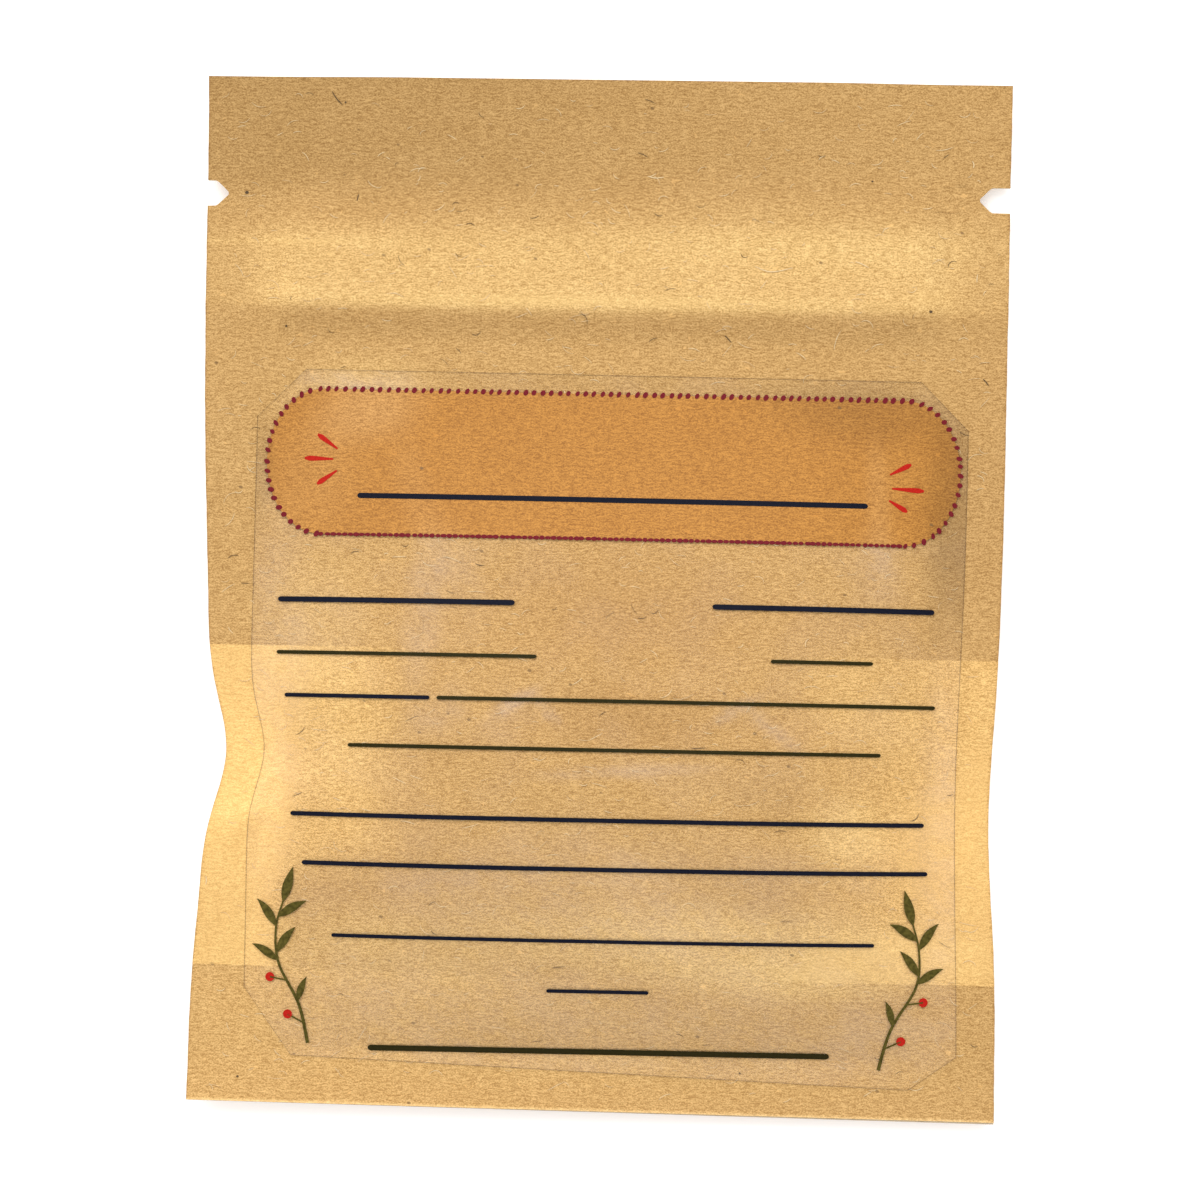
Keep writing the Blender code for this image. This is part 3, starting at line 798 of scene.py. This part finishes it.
LOOKS = {
    "kraft": kraft_material("kraft_paper_front", KRAFT),
    "kraft_back": kraft_material("kraft_paper_back", KRAFT, toned=False),
    "lining": plastic_material("laminated_lining", (0.70, 0.52, 0.30), 0.35),
    "cut_edge": edge_material("paper_cut_edge", (0.80, 0.62, 0.38)),
    "window": plastic_material("frosted_window_film", (0.86, 0.86, 0.83), 0.42, 0.17, 0.05),
    "zip": plastic_material("zip_plastic_moulded", (0.80, 0.80, 0.77), 0.38),
    "label": label_material("clear_label_film"),
    "orange": kraft_material("ink_orange_clear", CLEAR_ORANGE, roughness=0.5, bumps=0.25),
    "dot": ink_material("ink_deep_red", (0.15, 0.010, 0.016)),
    "ray": ink_material("ink_bright_red", (0.42, 0.012, 0.006)),
    "navy": ink_material("ink_navy", (0.004, 0.005, 0.013)),
    "olive": ink_material("ink_olive", (0.020, 0.016, 0.002)),
    "leaf": ink_material("ink_leaf", (0.075, 0.060, 0.010), 0.35, speckle=2.6),
    "husk": husk_material("pod_husk_dried"),
    "fibre": edge_material("pale_fibre", (0.78, 0.60, 0.34)),
    "bark": edge_material("bark_fibre", (0.085, 0.048, 0.018)),
}


# Paper and film plies


def build_front():
    x, y = sheet_grid(-HALF_LENGTH, HALF_LENGTH)
    near_edge = np.clip(1 - (y + HALF_LENGTH) / BACK_SHOWS_OVER, 0, 1)
    y = y + near_edge * np.interp(x, (-HALF_WIDTH, HALF_WIDTH), BACK_SHOWS)
    low = front(x, y)
    looks = [LOOKS["kraft"], LOOKS["lining"], LOOKS["cut_edge"]]
    tone = front_light_and_shade(x, y)
    piece = slab("paper_front", x, drawn_up(x, y), low, low + FRONT, looks, tone)
    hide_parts("front_panel")
    return piece


def build_back():
    plies = (
        ("window_film_back", "back_film", "frosted_film", film_face, FILM, -HALF_LENGTH, HALF_LENGTH),
        ("paper_back_upper", "back_paper_upper", "kraft_paper", back, PAPER, WINDOW_HIGH, HALF_LENGTH),
        ("paper_back_lower", "back_paper_lower", "kraft_paper", back, PAPER, -HALF_LENGTH, WINDOW_LOW),
    )
    for name, node, slot, surface, thickness, low_row, high_row in plies:
        x, y = sheet_grid(low_row, high_row)
        low = surface(x, y)
        if slot == "kraft_paper":
            looks = [LOOKS["lining"], LOOKS["kraft_back"], LOOKS["cut_edge"]]
        else:
            looks = [LOOKS["window"]] * 3
        piece = slab(name, x, drawn_up(x, y), low, low + thickness, looks)
        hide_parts(node)


def label_grid():
    """Places over the label, which has cut corners and sides that follow the dented pouch."""
    width = LABEL_RIGHT - LABEL_LEFT
    straight = spaced(0.0, width, CELL, (LABEL_CHAMFER, width - LABEL_CHAMFER))
    low_left = LABEL_BOTTOM_LEFT + LABEL_CHAMFER * 1.4
    low_right = LABEL_BOTTOM_RIGHT + LABEL_CHAMFER * 0.7
    corners = (0.0, LABEL_CHAMFER, width - LABEL_CHAMFER, width)
    bottom = np.interp(straight, corners, (low_left, LABEL_BOTTOM_LEFT, LABEL_BOTTOM_RIGHT, low_right))
    side_top = LABEL_TOP - LABEL_CHAMFER
    top = np.interp(straight, corners, (side_top, LABEL_TOP, LABEL_TOP, side_top))
    tall = LABEL_TOP - LABEL_BOTTOM_LEFT
    shares = spaced(0.0, tall, CELL) / tall
    y = bottom[None, :] + shares[:, None] * (top - bottom)[None, :]
    across = straight[None, :] / width
    x = LABEL_LEFT + straight[None, :] + bump(LABEL_LEFT_DENT, y) * (1 - across)
    return x - bump(LABEL_RIGHT_DENT, y) * across, y


def build_label():
    x, y = label_grid()
    low = front(x, as_cut(x, y)) + FRONT + LABEL_GAP
    # The outermost points carry the dark edge line: partly glue dirt, partly painted shadow
    edge = np.zeros_like(x)
    edge[[0, -1], :] = 1
    edge[:, [0, -1]] = 1
    tone = np.stack([edge, patches(MILKY_AND_HIGHLIGHTS, x, y), patches(SHADED, x, y)], -1)
    piece = slab("label_film", x, y, low, low + LABEL_FILM, [LOOKS["label"]] * 3, tone)
    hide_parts("label")
    return piece


# Flat marks: print on the label and fibres in the paper


class Marks:
    """Collects flat marks as thin closed solids that lie on a piece."""

    def __init__(self, carrier):
        mesh = carrier.data
        points = [vert.co for vert in mesh.vertices]
        self.tree = BVHTree.FromPolygons(points, [tuple(face.vertices) for face in mesh.polygons])
        self.marks = {}

    def height(self, x, y):
        hit = self.tree.ray_cast(Vector((x * MM, y * MM, 0.1)), Vector((0, 0, -1)))[0]
        return hit.z / MM

    def solid(self, piece, points, faces):
        """A mark from flat points, and faces that turn anticlockwise seen from above."""
        verts, polys = self.marks.setdefault(piece, ([], []))
        start, count = len(verts), len(points)
        lift = 0.0 if piece == BANNER else OVER_BANNER
        levels = [self.height(x, y) + lift for x, y in points]
        verts.extend((x, y, z + INK_LOW) for (x, y), z in zip(points, levels))
        verts.extend((x, y, z + INK_HIGH) for (x, y), z in zip(points, levels))
        sides = {}
        for face in faces:
            polys.append([start + count + i for i in face])
            polys.append([start + i for i in reversed(face)])
            for i, j in zip(face, face[1:] + face[:1]):
                if (j, i) in sides:
                    del sides[j, i]
                else:
                    sides[i, j] = True
        for i, j in sides:
            polys.append([start + i, start + j, start + count + j, start + count + i])

    def ribbon(self, piece, centres, widths):
        """A stroke of changing width along a line of points."""
        centres = np.asarray(centres, float)
        along = np.gradient(centres, axis=0)
        along /= np.linalg.norm(along, axis=1)[:, None]
        off = np.stack([-along[:, 1], along[:, 0]], -1) * (np.asarray(widths)[:, None] / 2)
        points = [tuple(p) for p in np.concatenate([centres + off, centres - off])]
        count = len(centres)
        faces = [[i, i + count, i + count + 1, i + 1] for i in range(count - 1)]
        self.solid(piece, points, faces)

    def disc(self, piece, middle, radii, turn=0.0, sides=10):
        points = [middle]
        for i in range(sides):
            angle = 2 * math.pi * i / sides
            a, b = radii[0] * math.cos(angle), radii[1] * math.sin(angle)
            points.append((
                middle[0] + a * math.cos(turn) - b * math.sin(turn),
                middle[1] + a * math.sin(turn) + b * math.cos(turn),
            ))
        faces = [[0, 1 + i, 1 + (i + 1) % sides] for i in range(sides)]
        self.solid(piece, points, faces)

    def rule(self, piece, x0, x1, y, width):
        """A straight write-in line with rounded ends."""
        count = max(4, round((x1 - x0) / 0.5))
        xs = np.linspace(x0, x1, count + 1)
        xs = np.sort(np.concatenate([xs, [x0 + width * 0.15, x0 + width * 0.5]]))
        xs = np.sort(np.concatenate([xs, [x1 - width * 0.5, x1 - width * 0.15]]))
        round_end = np.minimum(xs - x0, x1 - xs) / (width * 0.5)
        rounded = np.clip(round_end * (2 - round_end), 0.02, 1)
        widths = width * np.sqrt(np.where(round_end < 1, rounded, 1.0))
        self.ribbon(piece, np.stack([xs, np.full_like(xs, y)], -1), widths)

    def build(self, looks):
        for piece, (verts, polys) in self.marks.items():
            obj = new_object(piece, verts, polys, [LOOKS[looks[piece]]], smooth=False)
            if piece == BANNER:
                x, y = np.array(verts)[:, :2].T
                add_tone(obj.data, banner_tone(x, y))


def banner_half_width(y):
    """Half the banner's width at y: straight, with elliptical ends."""
    middle, half = (BANNER_LOW + BANNER_HIGH) / 2, (BANNER_HIGH - BANNER_LOW) / 2
    share = np.clip(np.abs(y - middle) / half, 0, 1)
    return (BANNER_RIGHT - BANNER_LEFT) / 2 - BANNER_END * (1 - np.sqrt(1 - share**2))


def banner_tone(x, y):
    """The film's milky places, its painted highlights and its painted shade, as they show through the
    banner's ink.
    """
    tone = 1 + 6.0 * patches(MILKY_AND_HIGHLIGHTS, x, y)[:, None] * np.array((0.35, 0.75, 2.6))
    return tone * (1 - 3.2 * patches(SHADED, x, y))[:, None]


def banner_line():
    """Points along the banner's border with the dots' pitch at each, anticlockwise."""
    middle_y, half = (BANNER_LOW + BANNER_HIGH) / 2, (BANNER_HIGH - BANNER_LOW) / 2
    right, left = BANNER_RIGHT - BANNER_END, BANNER_LEFT + BANNER_END

    def end(middle_x, start):
        turns = np.radians(np.linspace(start, start + 180, 120))
        return [((middle_x + BANNER_END * math.cos(turn), middle_y + half * math.sin(turn)),
                 DOT_PITCH_END) for turn in turns]

    low = [((x, BANNER_LOW), DOT_PITCH_BOTTOM) for x in np.arange(left, right, 0.1)]
    high = [((x, BANNER_HIGH), DOT_PITCH_TOP) for x in np.arange(right, left, -0.1)]
    return low + end(right, -90) + high + end(left, 90)


def print_banner(marks):
    turns = np.linspace(0, math.pi, BANNER_CELLS[0] + 1)
    rows = BANNER_LOW + (BANNER_HIGH - BANNER_LOW) * (1 - np.cos(turns)) / 2
    shares = np.linspace(-1, 1, BANNER_CELLS[1] + 1)
    middle = (BANNER_LEFT + BANNER_RIGHT) / 2
    points, faces = [], []
    for y in rows:
        points += [(middle + banner_half_width(y) * share, y) for share in shares]
    width = len(shares)
    for j in range(len(rows) - 1):
        for i in range(width - 1):
            a = j * width + i
            faces.append([a, a + 1, a + 1 + width, a + width])
    marks.solid(BANNER, points, faces)


def print_border(marks, rng):
    line = banner_line()
    travelled, due = 0.0, 0.0
    for (start, pitch), (end, _) in zip(line, line[1:] + line[:1]):
        if travelled >= due:
            heading = math.atan2(end[1] - start[1], end[0] - start[0])
            size = [s * rng.uniform(*DOT_VARIES) / 2 for s in DOT_SIZE]
            if pitch == DOT_PITCH_BOTTOM:
                size = [size[0] * BOTTOM_DOT_SHAPE[0], size[1] * BOTTOM_DOT_SHAPE[1]]
            slant = heading - DOT_SLANT * (pitch != DOT_PITCH_BOTTOM)
            marks.disc("banner_border", start, size, slant, 8)
            due += pitch * rng.uniform(*PITCH_VARIES)
        travelled += math.hypot(end[0] - start[0], end[1] - start[1])


# Short strokes near both ends of the banner: outer end, inner end
RAYS = (
    ((-24.9, 13.5), (-23.15, 12.25)),
    ((-26.0, 11.4), (-23.5, 11.35)),
    ((-24.85, 9.15), (-23.15, 10.35)),
    ((26.75, 11.95), (24.9, 11.0)),
    ((27.9, 9.65), (25.1, 9.8)),
    ((26.45, 7.8), (24.85, 8.75)),
)
RAY_WIDTH = 0.56
RAY_ROUND = 0.3  # share of a stroke's length that is rounded at its outer end
RAY_TAPER = 0.75

# Write-in lines: x from, x to, y, width, ink
RULES = (
    (-21.3, 23.0, 8.2, 0.46, "navy"),
    (-28.0, -7.4, -0.9, 0.46, "navy"),
    (9.6, 29.0, -0.9, 0.46, "navy"),
    (-28.0, -5.4, -5.5, 0.32, "olive"),
    (14.7, 23.6, -5.5, 0.32, "olive"),
    (-27.2, -14.5, -9.2, 0.34, "navy"),
    (-13.9, 29.2, -9.2, 0.32, "olive"),
    (-21.5, 24.4, -13.4, 0.32, "olive"),
    (-26.4, 28.4, -19.4, 0.38, "navy"),
    (-25.3, 28.8, -23.6, 0.38, "navy"),
    (-22.6, 24.2, -29.8, 0.32, "navy"),
    (-4.0, 4.8, -34.2, 0.32, "navy"),
    (-19.4, 20.6, -39.6, 0.50, "olive"),
)

# Sprigs: the stem's points from its foot, then the leaves as place along it, side and length
STEM_LEFT = ((-24.6, -39.3), (-25.4, -35.9), (-27.2, -32.4), (-27.5, -29.4), (-26.9, -27.0))
STEM_RIGHT = ((24.9, -40.7), (25.9, -37.1), (28.0, -33.4), (28.2, -30.4), (27.6, -28.0))
LEAVES = ((0.28, -1, 2.3), (0.52, 1, 2.7), (0.58, -1, 2.8), (0.78, 1, 2.9), (0.84, -1, 2.9),
          (1.00, 0, 3.2))
BERRIES = ((0.16, 1, 1.6), (0.40, 1, 1.5))
BERRY_RADIUS = 0.40
BERRY_SPREAD = math.radians(50)
STALK_WIDTH = 0.14
STEM_WIDTHS = (0.30, 0.14)
LEAF_WIDTH = 0.27  # as a share of a leaf's length
LEAF_SPREAD = math.radians(38)
LEAF_BEND = 0.12


def smooth_line(points, count):
    """A line through the points by Catmull-Rom, evenly split between them."""
    knots = np.array([points[0], *points, points[-1]], float)
    line = []
    for k in range(len(points) - 1):
        p0, p1, p2, p3 = knots[k:k + 4]
        for t in np.linspace(0, 1, count, endpoint=False):
            line.append(0.5 * (2 * p1 + (p2 - p0) * t + (2 * p0 - 5 * p1 + 4 * p2 - p3) * t**2
                               + (3 * p1 - p0 - 3 * p2 + p3) * t**3))
    return np.array(line + [knots[-1]])


def print_sprig(marks, points, mirror):
    stem = smooth_line(points, 14)
    marks.ribbon("sprig_stems", stem, np.linspace(*STEM_WIDTHS, len(stem)))
    for share, side, length in LEAVES:
        at = min(len(stem) - 2, int(share * (len(stem) - 1)))
        heading = math.atan2(*(stem[at + 1] - stem[at])[::-1]) + side * mirror * LEAF_SPREAD
        reach = np.linspace(0, 1, 12)
        bend = LEAF_BEND * side * mirror * reach**2
        middle = stem[at] + np.stack([
            length * reach * np.cos(heading + bend), length * reach * np.sin(heading + bend)], -1)
        widths = length * LEAF_WIDTH * np.maximum(np.sin(math.pi * reach**0.85), 0.03)
        marks.ribbon("sprig_leaves", middle, widths)
    for share, side, length in BERRIES:
        at = int(share * (len(stem) - 1))
        heading = math.atan2(*(stem[at + 1] - stem[at])[::-1]) + side * mirror * BERRY_SPREAD
        tip = stem[at] + length * np.array([math.cos(heading), math.sin(heading)])
        marks.ribbon("sprig_stems", np.linspace(stem[at], tip, 5), [STALK_WIDTH] * 5)
        marks.disc("sprig_berries", tuple(tip), (BERRY_RADIUS, BERRY_RADIUS), sides=16)


def build_print(film):
    rng = random.Random(21)
    marks = Marks(film)
    print_banner(marks)
    print_border(marks, rng)
    for outer, inner in RAYS:
        line = np.linspace(outer, inner, 7)
        shares = np.linspace(0, 1, 7)
        rounded = np.clip(1 - (1 - shares / RAY_ROUND) ** 2, 0.1, 1)
        widths = RAY_WIDTH * np.sqrt(np.where(shares < RAY_ROUND, rounded, 1.0))
        marks.ribbon("banner_rays", line, widths * (1 - RAY_TAPER * shares))
    for x0, x1, y, width, ink in RULES:
        marks.rule(f"rules_{ink}", x0, x1, y, width)
    print_sprig(marks, STEM_LEFT, 1)
    print_sprig(marks, STEM_RIGHT, -1)
    marks.build({
        BANNER: "orange", "banner_border": "dot", "banner_rays": "ray",
        "rules_navy": "navy", "rules_olive": "olive", "sprig_stems": "leaf",
        "sprig_leaves": "leaf", "sprig_berries": "ray",
    })


# Single fibres and bark specks that stand out in the paper: points along each, or place and radius
PALE_FIBRES = (
    ((12.8, 28.9), (14.2, 28.45), (16.1, 28.85)),
    ((21.5, 29.5), (22.0, 29.35), (22.7, 29.0)),
    ((32.25, 28.7), (32.2, 28.4), (32.2, 28.0)),
    ((31.6, 38.6), (31.75, 38.3), (31.7, 38.0)),
    ((3.3, 36.6), (4.0, 36.45), (4.7, 36.55)),
    ((-33.7, -25.0), (-33.65, -25.4), (-33.7, -25.8)),
)
DARK_FIBRES = (
    ((-24.3, 43.3), (-23.9, 42.7), (-23.4, 42.2)),
    ((-21.8, 34.5), (-21.9, 34.2), (-21.95, 33.9)),
    ((10.3, 22.9), (10.6, 22.6), (10.9, 22.3)),
    ((32.9, 19.6), (33.2, 19.3), (33.4, 19.0)),
)
SPECKS = (((-31.6, 34.5), 0.17), ((28.2, 25.3), 0.15), ((-23.1, 42.4), 0.09), ((-27.9, 22.9), 0.10),
          ((22.9, 36.6), 0.09), ((12.9, -41.2), 0.09), ((-30.6, -42.3), 0.11))
FIBRE_WIDTH = 0.055

# Scattered fibres: how many, half the area, distance from the edges, spread of the headings and the
# most bend in radians, lengths with what the longest have more, share of pale ones, widths and taper
# as shares of the fibre width
SCATTERED_FIBRES = 1100
FIBRE_AREA = (33.5, 43.5)
FIBRE_INSET = 1.5
FIBRE_TURN = 0.5
FIBRE_BEND = 1.2
FIBRE_LENGTH = (0.3, 1.0)
FIBRE_EXTRA = 0.9
PALE_SHARE = 0.92
FIBRE_VARIES = (0.35, 0.95)
FIBRE_TAPER = np.array([0.4, 0.9, 1, 1, 0.8, 0.3])


def build_fibres(paper):
    rng = random.Random(4)
    marks = Marks(paper)
    for piece, lines in (("pale_fibres", PALE_FIBRES), ("bark_fibres", DARK_FIBRES)):
        for points in lines:
            line = smooth_line(points, 5)
            marks.ribbon(piece, line, FIBRE_WIDTH * (0.4 + np.sin(np.linspace(0.2, 2.9, len(line)))))
    for middle, radius in SPECKS:
        marks.disc("bark_fibres", middle, (radius, radius * 0.8), sides=7)
    for _ in range(SCATTERED_FIBRES):
        x, y = (rng.uniform(-half, half) for half in FIBRE_AREA)
        if float(inside(x, y)) < FIBRE_INSET:
            continue
        heading, bend = rng.gauss(0, FIBRE_TURN), rng.uniform(-FIBRE_BEND, FIBRE_BEND)
        length = rng.uniform(*FIBRE_LENGTH) + FIBRE_EXTRA * rng.random() ** 4
        reach = np.linspace(-0.5, 0.5, len(FIBRE_TAPER))
        turn = heading + bend * reach
        line = np.stack([x + length * reach * np.cos(turn), y + length * reach * np.sin(turn)], -1)
        piece = "pale_fibres" if rng.random() < PALE_SHARE else "bark_fibres"
        marks.ribbon(piece, line, rng.uniform(*FIBRE_VARIES) * FIBRE_WIDTH * FIBRE_TAPER)
    marks.build({"pale_fibres": "fibre", "bark_fibres": "bark"})


# Pods

ROUNDINGS = 3
RIBS_A_SIDE = 7
RIB_DEPTH = 0.16
RIB_PALE = 0.28
WRINKLE_DEPTH = 0.05
POD_TIP_TINT = (1.0, 0.72, 0.62)


def build_pods():
    """Each pod is its solid, rounded and then ribbed along its length."""
    for number, (middle, axis, node) in enumerate(PODS, start=1):
        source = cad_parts[node]
        obj = bpy.data.objects.new(f"cardamom_{number:02d}", source.data.copy())
        bpy.context.scene.collection.objects.link(obj)
        smooth = obj.modifiers.new("rounding", "SUBSURF")
        smooth.levels = smooth.render_levels = ROUNDINGS
        graph = bpy.context.evaluated_depsgraph_get()
        mesh = bpy.data.meshes.new_from_object(obj.evaluated_get(graph))
        obj.modifiers.clear()
        obj.data = mesh
        count = len(mesh.vertices)
        points, normals = np.empty(count * 3), np.empty(count * 3)
        mesh.vertices.foreach_get("co", points)
        mesh.vertices.foreach_get("normal", normals)
        points, normals = points.reshape(-1, 3) / MM, normals.reshape(-1, 3)
        side = np.cross(axis, (0, 0, 1))
        side /= np.linalg.norm(side)
        up = np.cross(side, axis)
        off = points - middle
        angle = np.arctan2(off @ up, off @ side)
        along = off @ axis
        reach = np.clip(np.abs(along) / np.abs(along).max(), 0, 1)
        body = 1 - ramp(0.75, 1.0, reach)
        ribs = 0.5 + 0.5 * np.cos(3 * RIBS_A_SIDE * angle + number)
        wrinkles = np.sin(47 * angle + 1.3 * along + number) * np.sin(1.9 * along + 5 * angle)
        inward = RIB_DEPTH * ribs * body + WRINKLE_DEPTH * (wrinkles + 1) * body
        points = points - normals * inward[:, None]
        mesh.vertices.foreach_set("co", (points * MM).ravel())
        mesh.materials.clear()
        mesh.materials.append(LOOKS["husk"])
        mesh.shade_smooth()
        ends = ramp(0.80, 1.0, reach)[:, None]
        pale = (1 - ribs)[:, None] * RIB_PALE
        tone = (1 + pale) * (1 - ends) + ends * np.array(POD_TIP_TINT)
        add_tone(mesh, tone)
        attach(obj, "root")
        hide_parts(node)


# Stage, light and camera


def add_area(name, place, aim, size, power):
    light = bpy.data.lights.new(name, "AREA")
    light.shape = "RECTANGLE"
    light.size, light.size_y = size
    light.energy = power
    obj = bpy.data.objects.new(name, light)
    obj.location = place
    obj.rotation_euler = (Vector(aim) - Vector(place)).to_track_quat("-Z", "Y").to_euler()
    bpy.context.scene.collection.objects.link(obj)


def build_stage():
    mesh = bpy.data.meshes.new("floor")
    half, level = FLOOR_HALF * MM, -FLOOR_BELOW * MM
    corners = [(-half, -half, level), (half, -half, level), (half, half, level), (-half, half, level)]
    mesh.from_pydata(corners, [], [(0, 1, 2, 3)])
    g = Graph("pale_floor")
    g.set(Base_Color=(FLOOR_GREY, FLOOR_GREY, FLOOR_GREY, 1), Roughness=0.9)
    g.set(Emission_Color=(1, 1, 1, 1), Emission_Strength=FLOOR_GLOW)
    mesh.materials.append(g.material)
    floor = bpy.data.objects.new("floor", mesh)
    bpy.context.scene.collection.objects.link(floor)

    world = bpy.data.worlds.new("studio")
    bpy.context.scene.world = world
    world.use_nodes = True
    sky = world.node_tree.nodes["Background"]
    sky.inputs["Color"].default_value = (1, 1, 1, 1)
    sky.inputs["Strength"].default_value = SKY_STRENGTH
    add_area("key", KEY_PLACE, (0, 0, 0), KEY_SIZE, KEY_POWER)


def build_camera():
    camera = bpy.data.cameras.new("photo_camera")
    camera.sensor_width = 36.0
    camera.lens = 36.0 * CAMERA_AWAY / VIEW_WIDTH
    camera.clip_start, camera.clip_end = 0.01, 10.0
    obj = bpy.data.objects.new("photo_camera", camera)
    away = Vector((0, -math.sin(CAMERA_TILT), math.cos(CAMERA_TILT)))
    obj.location = (Vector(AIM) + away * CAMERA_AWAY) * MM
    up = Vector((-math.sin(CAMERA_ROLL), math.cos(CAMERA_ROLL), 0))
    side = up.cross(away).normalized()
    up = away.cross(side)
    turn = obj.matrix_world.to_3x3()
    turn.col[0], turn.col[1], turn.col[2] = side, up, away
    obj.rotation_euler = turn.to_euler()
    bpy.context.scene.collection.objects.link(obj)
    bpy.context.scene.camera = obj


build_fibres(build_front())
build_back()
build_print(build_label())
build_pods()
for zip_node in ("zip_channel", "zip_rib"):
    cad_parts[zip_node].data.materials.clear()
    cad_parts[zip_node].data.materials.append(LOOKS["zip"])
build_stage()
build_camera()
bpy.context.scene.view_settings.view_transform = "Standard"
